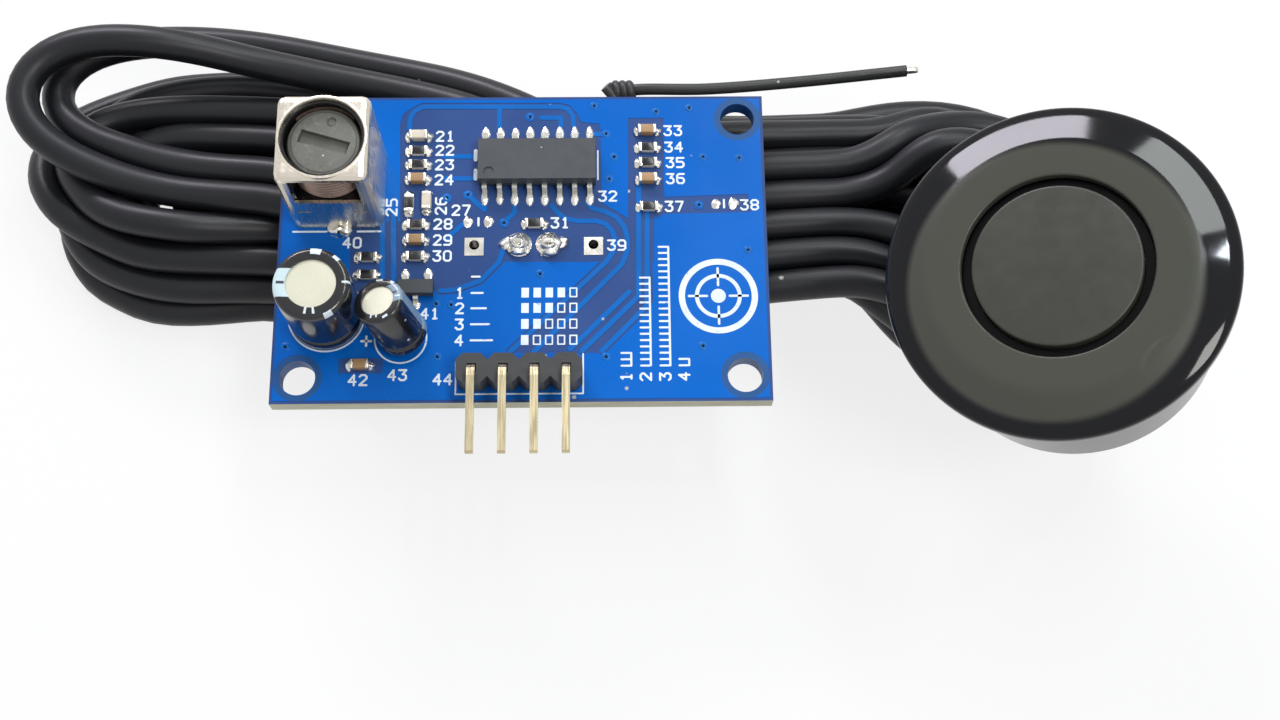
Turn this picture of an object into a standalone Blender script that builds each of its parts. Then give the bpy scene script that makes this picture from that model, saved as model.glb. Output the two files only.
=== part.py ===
"""Ultrasonic distance sensor: a ranging board lying on the tied hank of its probe's cable.

Metres, +Z up. The origin is on the surface that the hank lies on, under the middle of the board's
width. The board's pin header points along -Y, and the probe lies at +X with its face up.
"""

import math

import bmesh
import bpy
from mathutils import Matrix, Vector

MM = 0.001

# Clearances
SEAT = 0.03 * MM            # between a soldered or glued piece and what it sits on
FIT = 0.06 * MM             # all round a pressed or potted piece
TURN_GAP = 0.08 * MM        # all round the cap that turns
REST_GAP = 0.15 * MM        # between pieces that only lie on each other
BITE = 0.25 * MM            # how deep one solid runs into another before they are joined

# Cable, hank and tie
CABLE_D = 2.8 * MM
HANK_H = 10.4 * MM
HANK_LEFT = (-31.4 * MM, 2.6 * MM, 13.6 * MM)     # centre x, centre y and radius of an end
HANK_RIGHT = (36.0 * MM, -3.7 * MM, 13.2 * MM)
HANK_BACK = [(-17.0, 14.0), (-5.0, 11.6), (2.0, 7.8), (7.9, 6.1), (14.0, 7.2), (22.0, 8.8)]   # mm
HANK_FRONT = [(28.0, -14.2), (21.0, -12.2), (7.9, -12.2), (-2.0, -12.4), (-14.0, -11.2)]     # mm
PROBE_LEAD = [(48.4, -15.2, 6.9), (50.9, -14.4, 3.3), (53.4, -11.0, 1.7), (54.2, -5.5, 1.5),
              (52.0, 1.0, 1.5), (48.5, 5.0, 1.5)]                       # mm
PLUG_LEAD = [(-9.6, -18.9, 3.3), (-12.2, -18.1, 2.3), (-14.7, -16.9, 1.6), (-16.7, -15.2, 1.5)]  # mm
TIE_D = 1.0 * MM
TIE_X = 7.9 * MM
TIE_BEND = 1.6 * MM
TIE_SINK = 0.2 * MM         # how deep the tie lies in the hank's sides
TIE_KNOT = (7.2 * MM, 11.5 * MM)                  # y and z of the twisted knot
TIE_TAIL = [(9.6, 7.5, 11.2), (16.0, 7.5, 11.3), (24.0, 8.2, 11.2), (33.6, 9.1, 11.5)]    # mm

# Circuit board
BOARD_W = 41.0 * MM
BOARD_L = 27.5 * MM
BOARD_T = 1.6 * MM
BOARD_Y = -8.0 * MM
BOARD_TOP = HANK_H + TIE_D + 2 * REST_GAP + BOARD_T
MOUNT_HOLE_D = 3.0 * MM
MOUNT_HOLE_IN = 2.2 * MM    # from both edges to a mounting hole's centre
LEAD_HOLE_D = 1.0 * MM
SPARE_HOLE_OUT = 5.0 * MM   # from the socket's middle to each of the two empty plated holes
TAIL = 1.1 * MM             # how far soldered leads stand out under the board

# Pin header
PIN_PITCH = 2.54 * MM
PIN_COUNT = 4
PIN_W = 0.64 * MM
HEADER_X = -0.12 * MM
HEADER_Y = -11.56 * MM      # these places are measured from the board's centre
HEADER_H = 2.5 * MM
HEADER_L = 2.5 * MM
HEADER_CHAMFER = 0.55 * MM
PIN_RISE = 3.13 * MM
PIN_REACH = 7.26 * MM
PIN_BEND = 0.9 * MM

# Cable socket and plug under the board
SOCKET_X = 0.885 * MM
SOCKET_Y = 0.02 * MM
SOCKET_PITCH = 2.5 * MM
SOCKET_W = 7.5 * MM
SOCKET_L = 6.7 * MM
SOCKET_H = 4.6 * MM
SOCKET_WALL = 0.6 * MM
SOCKET_BACK = 1.0 * MM      # from the pins' upright legs to the housing
SOCKET_PIN_W = 0.5 * MM
SOCKET_PIN_TOP = 1.25 * MM
PLUG_L = 8.0 * MM
PLUG_OUT = 2.6 * MM
CONTACT_W = 1.3 * MM
CONTACT_L = 4.6 * MM
WIRE_D = 1.1 * MM

# Transformer
XFMR_X = -15.45 * MM
XFMR_Y = 5.33 * MM
XFMR_W = 7.5 * MM
XFMR_H = 9.9 * MM
XFMR_WALL = 0.3 * MM
XFMR_CORNER = 0.7 * MM
XFMR_MOUTH_D = 6.8 * MM
XFMR_PIN_PITCH = 2.25 * MM
XFMR_PIN_D = 0.7 * MM
TAB_W = 1.1 * MM
CAP_D = 6.1 * MM
CAP_H = 3.5 * MM
CAP_SINK = 1.0 * MM
CAP_TOP_T = 1.1 * MM
CAP_WALL = 0.8 * MM
CAP_THREADS = 5
CAP_THREAD_DEPTH = 0.12 * MM
CAP_DOT_D = 0.8 * MM
CAP_SLOT_L = 4.1 * MM
CAP_SLOT_W = 1.15 * MM
CAP_SLOT_T = 0.6 * MM
CAP_SLOT_TURN = -17.0
WINDOW_W = 5.4 * MM
WINDOW_LOW = 5.3 * MM
WINDOW_HIGH = 9.3 * MM
BASE_T = 1.5 * MM
DRUM_H = 5.4 * MM
DRUM_D = 4.1 * MM
DRUM_NECK_D = 1.8 * MM
DRUM_RIM_T = 0.6 * MM

# Electrolytic capacitors: x, y, diameter, height, top disc's diameter, lead pitch
BIG_CAP = (-16.15 * MM, -6.15 * MM, 6.1 * MM, 7.6 * MM, 4.0 * MM, 2.5 * MM)
SMALL_CAP = (-9.6 * MM, -8.1 * MM, 4.1 * MM, 5.7 * MM, 2.65 * MM, 1.5 * MM)
SMALL_CAP_LEAN = 19.0       # degrees, towards the big one
SMALL_CAP_LEAN_TO = 145.0
SLEEVE_T = 0.12 * MM
ELECTRO_LEAD_D = 0.5 * MM

# Controller chip and transistor
CHIP_X = 1.15 * MM
CHIP_Y = 7.22 * MM
CHIP_L = 9.9 * MM
CHIP_W = 3.9 * MM
CHIP_H = 1.5 * MM
CHIP_STAND = 0.15 * MM
CHIP_SPAN = 6.1 * MM
CHIP_PITCH = 1.27 * MM
CHIP_LEAD_W = 0.42 * MM
TRANSISTOR_X = -8.83 * MM
TRANSISTOR_Y = -3.95 * MM
TRANSISTOR_L = 2.9 * MM
TRANSISTOR_W = 1.4 * MM
TRANSISTOR_H = 1.0 * MM
TRANSISTOR_SPAN = 2.6 * MM
TRANSISTOR_PITCH = 0.95 * MM
LEAD_T = 0.18 * MM

# Chip resistors and ceramic capacitors: name, x, y in mm, quarter turns
CHIP_R_SIZE = (1.6 * MM, 0.8 * MM, 0.45 * MM)
CHIP_C_SIZE = (1.6 * MM, 0.8 * MM, 0.8 * MM)
CHIP_END = 0.32 * MM
CHIP_END_PROUD = 0.03 * MM
RESISTORS = [
    ("resistor_1", 10.56, 7.42, 0), ("resistor_2", 10.56, 8.83, 0), ("resistor_3", -9.0, 1.84, 0),
    ("resistor_4", -9.65, 3.76, 1), ("resistor_5", -9.0, 7.33, 0), ("resistor_6", 0.91, 1.87, 0),
    ("resistor_8", -9.0, -1.04, 0), ("resistor_9", -9.0, 8.60, 0), ("resistor_10", -12.95, -1.10, 0),
    ("resistor_11", -12.95, -2.68, 0), ("resistor_13", 10.58, 3.36, 0),
]
CERAMICS = [
    ("ceramic_capacitor_1", 10.53, 5.86, 0), ("ceramic_capacitor_2", -9.0, 5.95, 0),
    ("ceramic_capacitor_3", 10.51, 10.38, 0), ("ceramic_capacitor_4", -9.0, 0.38, 0),
    ("ceramic_capacitor_6", -8.15, 3.85, 1), ("ceramic_capacitor_7", -9.0, 9.95, 0),
    ("ceramic_capacitor_9", -13.2, -10.55, 0),
]

# Probe
PROBE_X = 40.3 * MM
PROBE_Y = -15.85 * MM
PROBE_LEAN = 20.2           # degrees, face turned towards the board
PROBE_NOD = 1.9             # degrees, face turned towards -Y
FLANGE_D = 26.1 * MM
FACE_EDGE_D = 24.5 * MM
FLANGE_T = 2.3 * MM
CROWN = 0.5 * MM
CROWN_FROM_D = 18.4 * MM
BARREL_D = 22.7 * MM
PROBE_L = 15.0 * MM
BARREL_CHAMFER = 0.7 * MM
PROBE_WALL = 1.6 * MM
FACE_LIP_T = 2.2 * MM
CAN_D = 12.5 * MM
CAN_L = 8.6 * MM
CAN_RIM_OUT = 1.0 * MM      # how far the rim stands out of the can
CAN_RIM_T = 1.0 * MM
CAN_WALL = 1.0 * MM
SEAL_W = 0.8 * MM           # the seal's width round the can, which sets the hole in the face
SEAL_T = 0.9 * MM           # the seal's thickness before the rim
SEAL_BACK_T = 1.2 * MM      # and behind it
SEAL_OUT = 0.3 * MM         # the seal's width round the rim
SEAL_SINK = 0.45 * MM
PIEZO_D = 7.0 * MM
PIEZO_T = 0.5 * MM
PAD_T = 2.4 * MM
POTTING_SINK = 0.8 * MM
GLAND_D = 6.4 * MM
GLAND_L = 4.2 * MM
GLAND_ROOT = 2.0 * MM       # how deep the gland is potted in

PARTS = bpy.data.collections.new("ultrasonic_distance_sensor")
CUTTERS = bpy.data.collections.new("cutters")


def clear_scene():
    """Start from an empty scene."""
    for old in list(bpy.data.objects):
        bpy.data.objects.remove(old)
    bpy.context.scene.collection.children.link(PARTS)
    bpy.context.scene.collection.children.link(CUTTERS)


def material(name, color, roughness, metallic=0.0):
    """A plain Principled BSDF material, made once for each finish."""
    if name in bpy.data.materials:
        return bpy.data.materials[name]
    made = bpy.data.materials.new(name)
    made.use_nodes = True
    shader = made.node_tree.nodes["Principled BSDF"]
    shader.inputs["Base Color"].default_value = (*color, 1.0)
    shader.inputs["Roughness"].default_value = roughness
    shader.inputs["Metallic"].default_value = metallic
    made.diffuse_color = (*color, 1.0)
    return made


def finishes():
    """The finishes that the pieces are given by name."""
    material("solder_mask", (0.0, 0.12, 0.48), 0.35)
    material("black_plastic", (0.02, 0.02, 0.022), 0.45)
    material("tinplate", (0.78, 0.77, 0.74), 0.25, 1.0)
    material("tin", (0.75, 0.75, 0.73), 0.3, 1.0)
    material("gold", (0.78, 0.62, 0.36), 0.25, 1.0)
    material("ferrite", (0.16, 0.16, 0.14), 0.7)
    material("copper", (0.72, 0.36, 0.2), 0.35, 1.0)
    material("aluminium", (0.8, 0.8, 0.78), 0.35, 1.0)
    material("sleeve", (0.03, 0.03, 0.035), 0.3)
    material("chip_resin", (0.03, 0.03, 0.03), 0.6)
    material("resistor_body", (0.04, 0.04, 0.045), 0.5)
    material("ceramic", (0.5, 0.36, 0.24), 0.6)
    material("nylon", (0.85, 0.83, 0.76), 0.5)
    material("probe_shell", (0.035, 0.035, 0.033), 0.2)
    material("probe_face", (0.07, 0.07, 0.065), 0.4)
    material("seal_rubber", (0.01, 0.01, 0.012), 0.6)
    material("piezo", (0.72, 0.68, 0.55), 0.5)
    material("foam", (0.12, 0.12, 0.13), 0.9)
    material("potting", (0.03, 0.03, 0.03), 0.5)
    material("cable_jacket", (0.03, 0.03, 0.03), 0.5)
    material("wire_red", (0.5, 0.03, 0.02), 0.5)


def finish_object(obj, name, finish, collection=PARTS):
    """Name an object, file it in a collection and give it its finish."""
    obj.name = name
    obj.data.name = name
    collection.objects.link(obj)
    obj.data.materials.append(bpy.data.materials[finish])
    if obj.type == "MESH":
        obj.data.shade_smooth()
        obj.data.set_sharp_from_angle(angle=math.radians(35))
    return obj


def from_bmesh(mesh_data, name, finish):
    """An object from a bmesh."""
    mesh = bpy.data.meshes.new(name)
    mesh_data.to_mesh(mesh)
    mesh_data.free()
    return finish_object(bpy.data.objects.new(name, mesh), name, finish)


def add_box(mesh_data, size, centre):
    """Add one box to a bmesh."""
    place = Matrix.Translation(centre) @ Matrix.Diagonal((*size, 1.0))
    bmesh.ops.create_cube(mesh_data, size=1.0, matrix=place)


def add_cylinder(mesh_data, diameter, low, high, x=0.0, y=0.0, sides=16):
    """Add one upright cylinder to a bmesh."""
    place = Matrix.Translation((x, y, (low + high) / 2))
    bmesh.ops.create_cone(mesh_data, cap_ends=True, segments=sides, radius1=diameter / 2,
                          radius2=diameter / 2, depth=high - low, matrix=place)


def box(name, size, centre, finish, bevel=0.0):
    """A box with its place in its location, and its edges rounded by bevel."""
    shape = bmesh.new()
    add_box(shape, size, (0, 0, 0))
    obj = from_bmesh(shape, name, finish)
    obj.location = centre
    if bevel:
        round_edges(obj, bevel)
    return obj


def round_edges(obj, width, segments=2):
    """Round an object's sharp edges."""
    bevel = obj.modifiers.new("round", "BEVEL")
    bevel.width = width
    bevel.segments = segments
    bevel.limit_method = "ANGLE"
    bevel.angle_limit = math.radians(50)


def turned(name, profile, finish, sides=32, ring=False):
    """Turn a profile of (radius, height) points, which runs down its outer side, about Z."""
    mesh = bpy.data.meshes.new(name)
    edges = [(i, i + 1) for i in range(len(profile) - 1)]
    if ring:
        edges.append((len(profile) - 1, 0))
    mesh.from_pydata([(r, 0.0, z) for r, z in profile], edges, [])
    obj = finish_object(bpy.data.objects.new(name, mesh), name, finish)
    screw = obj.modifiers.new("turn", "SCREW")
    screw.steps = sides
    screw.render_steps = sides
    screw.use_merge_vertices = True
    screw.merge_threshold = 0.000001
    screw.use_smooth_shade = True
    return obj


def arc(x, z, radius, start, end, steps):
    """Points on an arc about (x, z), from start to end in degrees."""
    angles = [math.radians(start + (end - start) * i / steps) for i in range(steps + 1)]
    return [(x + radius * math.cos(a), z + radius * math.sin(a)) for a in angles]


def prism(mesh_data, points, low, high, place=Matrix.Identity(4)):
    """Add a prism to a bmesh: a polygon in the plane, from low to high, moved by place."""
    bottom = [mesh_data.verts.new(place @ Vector((x, y, low))) for x, y in points]
    top = [mesh_data.verts.new(place @ Vector((x, y, high))) for x, y in points]
    mesh_data.faces.new(bottom[::-1])
    mesh_data.faces.new(top)
    for i in range(len(points)):
        j = (i + 1) % len(points)
        mesh_data.faces.new((bottom[i], bottom[j], top[j], top[i]))


def circle(x, y, diameter, sides):
    """Points round a circle in the plane."""
    step = 360.0 / sides
    return arc(x, y, diameter / 2, 0, 360 - step, sides - 1)


def rectangle(width, length, x=0.0, y=0.0):
    """Corners of a rectangle about (x, y)."""
    return [(x + sx * width / 2, y + sy * length / 2) for sx, sy in ((-1, -1), (1, -1), (1, 1), (-1, 1))]


def outline(name, loops, thickness, finish):
    """A flat outline, with any inner loops as holes, given a thickness about its plane."""
    curve = bpy.data.curves.new(name, "CURVE")
    curve.dimensions = "2D"
    curve.fill_mode = "BOTH"
    curve.extrude = thickness / 2
    for loop in loops:
        spline = curve.splines.new("POLY")
        spline.points.add(len(loop) - 1)
        spline.use_cyclic_u = True
        for point, (x, y) in zip(spline.points, loop):
            point.co = (x, y, 0.0, 1.0)
    return finish_object(bpy.data.objects.new(name, curve), name, finish)


def smooth_line(points, steps):
    """Points along a smooth curve through the given ones."""
    knots = [Vector(p) for p in points]
    knots = [2 * knots[0] - knots[1]] + knots + [2 * knots[-1] - knots[-2]]
    line = []
    for a, b, c, d in zip(knots, knots[1:], knots[2:], knots[3:]):
        for i in range(steps):
            t = i / steps
            line.append(0.5 * (2 * b + (c - a) * t + (2 * a - 5 * b + 4 * c - d) * t ** 2
                               + (3 * b - a - 3 * c + d) * t ** 3))
    return line + [knots[-2]]


def tube(name, line, diameter, finish):
    """A round tube along a line of points."""
    curve = bpy.data.curves.new(name, "CURVE")
    curve.dimensions = "3D"
    curve.bevel_depth = diameter / 2
    curve.bevel_resolution = 2
    curve.use_fill_caps = True
    spline = curve.splines.new("POLY")
    spline.points.add(len(line) - 1)
    for point, place in zip(spline.points, line):
        point.co = (*place, 1.0)
    return finish_object(bpy.data.objects.new(name, curve), name, finish)


def as_mesh(obj):
    """Replace a curve object by the welded mesh that it makes."""
    bpy.context.view_layer.update()
    graph = bpy.context.evaluated_depsgraph_get()
    mesh = bpy.data.meshes.new_from_object(obj.evaluated_get(graph))
    welded = bmesh.new()
    welded.from_mesh(mesh)
    bmesh.ops.remove_doubles(welded, verts=welded.verts, dist=0.000001)
    bmesh.ops.recalc_face_normals(welded, faces=welded.faces)
    welded.to_mesh(mesh)
    welded.free()
    name = obj.name
    place = obj.matrix_world.copy()
    bpy.data.objects.remove(obj)
    made = bpy.data.objects.new(name, mesh)
    made.matrix_world = place
    PARTS.objects.link(made)
    return made


def combine(obj, other, operation):
    """Cut or join a solid with another one, which becomes a hidden helper."""
    if other.name in PARTS.objects:
        PARTS.objects.unlink(other)
        CUTTERS.objects.link(other)
    other.hide_render = True
    other.display_type = "WIRE"
    step = obj.modifiers.new(operation.lower(), "BOOLEAN")
    step.operation = operation
    step.solver = "EXACT"
    step.object = other
    return obj


def on_board(x, y, z=0.0):
    """A place given from the middle of the board's top face."""
    return Vector((x, BOARD_Y + y, BOARD_TOP + z))


def pin_places():
    """The header pins' places along X."""
    return [HEADER_X + (i - (PIN_COUNT - 1) / 2) * PIN_PITCH for i in range(PIN_COUNT)]


def socket_places():
    """The cable socket pins' places along X."""
    return [SOCKET_X - SOCKET_PITCH / 2, SOCKET_X + SOCKET_PITCH / 2]


def electrolytic_leads(spec):
    """The places of a radial capacitor's two leads on the board."""
    x, y, pitch = spec[0], spec[1], spec[5]
    return [(x - pitch / 2, y), (x + pitch / 2, y)]


def transformer_pins():
    """The places of the transformer's five pins on the board: three on one side, two on the other."""
    step = XFMR_PIN_PITCH
    left = [(XFMR_X - step, XFMR_Y + i * step) for i in (-1, 0, 1)]
    right = [(XFMR_X + step, XFMR_Y + i * step) for i in (-1, 1)]
    return left + right


def can_tabs():
    """The places of the transformer can's two ground tabs."""
    reach = XFMR_W / 2 - XFMR_WALL / 2
    return [(XFMR_X, XFMR_Y - reach), (XFMR_X, XFMR_Y + reach)]


def circuit_board():
    """The board, with its mounting holes and the plated holes that leads pass through."""
    corner_x = BOARD_W / 2 - MOUNT_HOLE_IN
    corner_y = BOARD_L / 2 - MOUNT_HOLE_IN
    loops = [rectangle(BOARD_W, BOARD_L)]
    for sx, sy in ((1, 1), (1, -1), (-1, -1)):
        loops.append(circle(sx * corner_x, sy * corner_y, MOUNT_HOLE_D, 24))
    leads = [(x, HEADER_Y) for x in pin_places()] + [(x, SOCKET_Y) for x in socket_places()]
    leads += [(SOCKET_X - SPARE_HOLE_OUT, SOCKET_Y), (SOCKET_X + SPARE_HOLE_OUT, SOCKET_Y)]
    leads += electrolytic_leads(BIG_CAP) + electrolytic_leads(SMALL_CAP) + transformer_pins()
    loops += [circle(x, y, LEAD_HOLE_D, 10) for x, y in leads]
    loops += [circle(x, y, 1.5 * LEAD_HOLE_D, 12) for x, y in can_tabs()]
    board = outline("circuit_board", loops, BOARD_T, "solder_mask")
    board.location = on_board(0, 0, -BOARD_T / 2)


def bent_pin(name, x, foot, rise, reach, width, bend, finish):
    """A square pin that stands up from foot to rise, bends and runs reach along -Y."""
    half = width / 2
    tip = width / 4
    outer = arc(-bend, rise - bend, bend + half, 0, 90, 5)
    inner = arc(-bend, rise - bend, bend - half, 90, 0, 5)
    points = [(half - tip, foot), (half, foot + tip)] + outer
    points += [(-reach + tip, rise + half), (-reach, rise + half - tip)]
    points += [(-reach, rise - half + tip), (-reach + tip, rise - half)] + inner
    points += [(-half, foot + tip), (-half + tip, foot)]
    pin = outline(name, [points], width, finish)
    pin.rotation_euler = (math.pi / 2, 0, math.pi / 2)
    pin.location = x
    return pin


def pin_header():
    """The header: one block of chamfered cells standing on the board, and its bent pins."""
    cell = PIN_PITCH / 2
    deep = HEADER_L / 2
    front = []
    back = []
    for x in pin_places():
        front += [(x - cell, -deep + HEADER_CHAMFER), (x - cell + HEADER_CHAMFER, -deep),
                  (x + cell - HEADER_CHAMFER, -deep)]
        back += [(x - cell + HEADER_CHAMFER, deep), (x + cell - HEADER_CHAMFER, deep),
                 (x + cell, deep - HEADER_CHAMFER)]
    last = pin_places()[-1] + cell
    edge = front + [(last, -deep + HEADER_CHAMFER)] + back[::-1]
    edge.append((pin_places()[0] - cell, deep - HEADER_CHAMFER))
    hole = PIN_W + 2 * FIT
    loops = [edge] + [rectangle(hole, hole, x) for x in pin_places()]
    block = outline("header_block", loops, HEADER_H, "black_plastic")
    block.location = on_board(0, HEADER_Y, SEAT + HEADER_H / 2)
    for i, x in enumerate(pin_places()):
        bent_pin(f"header_pin_{i + 1}", on_board(x, HEADER_Y), -BOARD_T - TAIL, PIN_RISE,
                 PIN_REACH, PIN_W, PIN_BEND, "gold")


def socket_level():
    """The height of the socket's cavity axis, from the board's top face."""
    return -BOARD_T - SEAT - SOCKET_H / 2


def cable_socket():
    """The side-entry socket under the board, its two pins and their solder joints on top."""
    mouth = SOCKET_Y - SOCKET_BACK - SOCKET_L
    middle = on_board(SOCKET_X, mouth + SOCKET_L / 2, socket_level())
    shell = box("cable_socket", (SOCKET_W, SOCKET_L, SOCKET_H), middle, "nylon")
    cavity = bmesh.new()
    add_box(cavity, (SOCKET_W - 2 * SOCKET_WALL, SOCKET_L, SOCKET_H - 2 * SOCKET_WALL),
            (0, -SOCKET_BACK, 0))
    cutter = from_bmesh(cavity, "socket_cavity", "nylon")
    cutter.location = middle
    combine(shell, cutter, "DIFFERENCE")
    hole = SOCKET_PIN_W + 2 * FIT
    holes = bmesh.new()
    for x in socket_places():
        add_box(holes, (hole, SOCKET_L, hole), (x - SOCKET_X, SOCKET_L / 2, 0))
    cutter = from_bmesh(holes, "socket_pin_holes", "nylon")
    cutter.location = middle
    combine(shell, cutter, "DIFFERENCE")
    reach = SOCKET_BACK + SOCKET_L - 1.6 * MM
    for i, x in enumerate(socket_places()):
        pin = bent_pin(f"socket_pin_{i + 1}", on_board(x, SOCKET_Y), -SOCKET_PIN_TOP,
                       -socket_level(), reach, SOCKET_PIN_W, 0.5 * MM, "tin")
        pin.rotation_euler = (-math.pi / 2, 0, math.pi / 2)
        joint = SOCKET_PIN_W * math.sqrt(2) + 2 * FIT
        top = 0.95 * MM
        profile = [(joint / 2, top), (joint / 2 + 0.16 * MM, top - 0.1 * MM),
                   (0.72 * MM, 0.4 * MM), (1.1 * MM, 0.1 * MM), (1.12 * MM, SEAT), (joint / 2, SEAT)]
        solder = turned(f"solder_joint_{i + 1}", profile, "tin", 20, ring=True)
        solder.location = on_board(x, SOCKET_Y)


def cable_plug():
    """The plug in the socket, its two crimp contacts and the wires that leave it."""
    mouth = SOCKET_Y - SOCKET_BACK - SOCKET_L
    width = SOCKET_W - 2 * SOCKET_WALL - 4 * FIT
    height = SOCKET_H - 2 * SOCKET_WALL - 4 * FIT
    middle = on_board(SOCKET_X, mouth - PLUG_OUT + PLUG_L / 2, socket_level())
    bore = CONTACT_W + 2 * FIT
    loops = [rectangle(width, height)]
    loops += [rectangle(bore, bore, x - SOCKET_X) for x in socket_places()]
    plug = outline("cable_plug", loops, PLUG_L, "nylon")
    plug.rotation_euler = (math.pi / 2, 0, 0)
    plug.location = middle
    inner = SOCKET_PIN_W + 2 * FIT
    start = mouth - PLUG_OUT + PLUG_L - CONTACT_L / 2 - 0.4 * MM
    for i, x in enumerate(socket_places()):
        contact = outline(f"plug_contact_{i + 1}", [rectangle(CONTACT_W, CONTACT_W), rectangle(inner, inner)],
                          CONTACT_L, "tin")
        contact.rotation_euler = (math.pi / 2, 0, 0)
        contact.location = on_board(x, start, socket_level())
    back = mouth - PLUG_OUT
    away = (Vector(PLUG_LEAD[0]) - Vector(PLUG_LEAD[1])).normalized()
    aside = away.cross(Vector((0, 0, 1))).normalized() * (WIRE_D / 2 + REST_GAP)
    for i, (x, finish) in enumerate(zip(socket_places(), ("cable_jacket", "wire_red"))):
        inside = on_board(x, back + 1.6 * MM, socket_level())
        out = on_board(x, back - 0.8 * MM, socket_level())
        turn = out + Vector((-1.4 - 0.4 * i, -1.0 + 0.35 * i, -0.9)) * MM
        end = Vector(PLUG_LEAD[0]) * MM + away * 2 * REST_GAP + aside * (1 - 2 * i)
        before = end + away * 3 * WIRE_D
        tube(f"plug_wire_{i + 1}", smooth_line([inside, out, turn, before, end], 6), WIRE_D, finish)


def transformer_can():
    """The tinned can: open below, with a round mouth on top, two windows and two ground tabs."""
    foot = on_board(XFMR_X, XFMR_Y, SEAT)
    top = XFMR_H - SEAT
    tall = top + 2 * XFMR_CORNER
    can = box("transformer_can", (XFMR_W, XFMR_W, tall), foot + Vector((0, 0, top - tall / 2)),
              "tinplate", XFMR_CORNER)
    can.modifiers["round"].segments = 3
    inner = XFMR_W - 2 * XFMR_WALL
    room = bmesh.new()
    add_box(room, (inner, inner, tall), (0, 0, -XFMR_WALL))
    room = from_bmesh(room, "can_room", "tinplate")
    room.location = can.location
    round_edges(room, XFMR_CORNER - XFMR_WALL, 3)
    combine(can, room, "DIFFERENCE")
    cuts = bmesh.new()
    add_cylinder(cuts, XFMR_MOUTH_D, top - 1.4 * XFMR_WALL, top + XFMR_WALL, sides=32)
    through = XFMR_W + 2 * XFMR_WALL
    add_box(cuts, (WINDOW_W, through, WINDOW_HIGH - WINDOW_LOW), (0, 0, (WINDOW_HIGH + WINDOW_LOW) / 2))
    for side in (-1, 1):
        add_box(cuts, (1.1 * MM, through, 0.3 * MM), (side * 2.3 * MM, 0, 3.6 * MM))
    add_box(cuts, (2 * XFMR_W, 2 * XFMR_W, 2 * XFMR_CORNER), (0, 0, -XFMR_CORNER))
    cuts = from_bmesh(cuts, "can_openings", "tinplate")
    cuts.location = foot
    combine(can, cuts, "DIFFERENCE")
    tabs = bmesh.new()
    low = -SEAT - BOARD_T - TAIL
    high = 0.9 * MM
    for x, y in can_tabs():
        thin = XFMR_WALL - FIT
        add_box(tabs, (TAB_W, thin, high - low), (0, y - XFMR_Y, (high + low) / 2))
    tabs = from_bmesh(tabs, "can_tabs", "tinplate")
    tabs.location = foot
    combine(can, tabs, "UNION")


def transformer_core():
    """What the can holds: pin base, drum core, winding, threaded holder and the cap that turns."""
    foot = on_board(XFMR_X, XFMR_Y, SEAT)
    wide = XFMR_W - 2 * XFMR_WALL - 2 * FIT
    corner = XFMR_CORNER - XFMR_WALL
    half = wide / 2
    edge = [(-half + corner, -half), (half - corner, -half), (half, -half + corner),
            (half, half - corner), (half - corner, half), (-half + corner, half),
            (-half, half - corner), (-half, -half + corner)]
    base = as_mesh(outline("transformer_base", [edge], BASE_T, "black_plastic"))
    finish_again(base, "black_plastic")
    base.location = foot + Vector((0, 0, BASE_T / 2))
    pins = bmesh.new()
    for x, y in transformer_pins():
        add_cylinder(pins, XFMR_PIN_D, -SEAT - BOARD_T - TAIL, BITE, x - XFMR_X, y - XFMR_Y, 10)
    pins = from_bmesh(pins, "base_pins", "tin")
    pins.location = foot
    combine(base, pins, "UNION")
    drum_foot = BASE_T + SEAT
    neck = DRUM_NECK_D / 2
    rim = DRUM_D / 2
    profile = [(0, DRUM_H), (rim, DRUM_H), (rim, DRUM_H - DRUM_RIM_T), (neck, DRUM_H - DRUM_RIM_T),
               (neck, DRUM_RIM_T), (rim, DRUM_RIM_T), (rim, 0), (0, 0)]
    drum = turned("transformer_drum_core", profile, "ferrite", 24)
    drum.location = foot + Vector((0, 0, drum_foot))
    high = DRUM_H - DRUM_RIM_T - SEAT
    low = DRUM_RIM_T + SEAT
    coil = [(neck + SEAT, high), (rim - 0.1 * MM, high), (rim - 0.1 * MM, low), (neck + SEAT, low)]
    winding = turned("transformer_winding", coil, "copper", 24, ring=True)
    winding.location = drum.location
    holder_low = BASE_T + SEAT
    holder_high = XFMR_H - SEAT - XFMR_WALL - corner - FIT
    holder_h = holder_high - holder_low
    bore = CAP_D + 2 * TURN_GAP
    holder = as_mesh(outline("transformer_holder", [edge, circle(0, 0, bore, 32)], holder_h,
                             "black_plastic"))
    finish_again(holder, "black_plastic")
    holder.location = foot + Vector((0, 0, holder_low + holder_h / 2))
    gap = bmesh.new()
    add_box(gap, (WINDOW_W - 0.3 * MM, 2 * wide, WINDOW_HIGH - WINDOW_LOW - 0.4 * MM),
            (0, 0, (WINDOW_HIGH + WINDOW_LOW) / 2 - 0.1 * MM))
    gap = from_bmesh(gap, "holder_window", "black_plastic")
    gap.location = foot
    combine(holder, gap, "DIFFERENCE")


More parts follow.
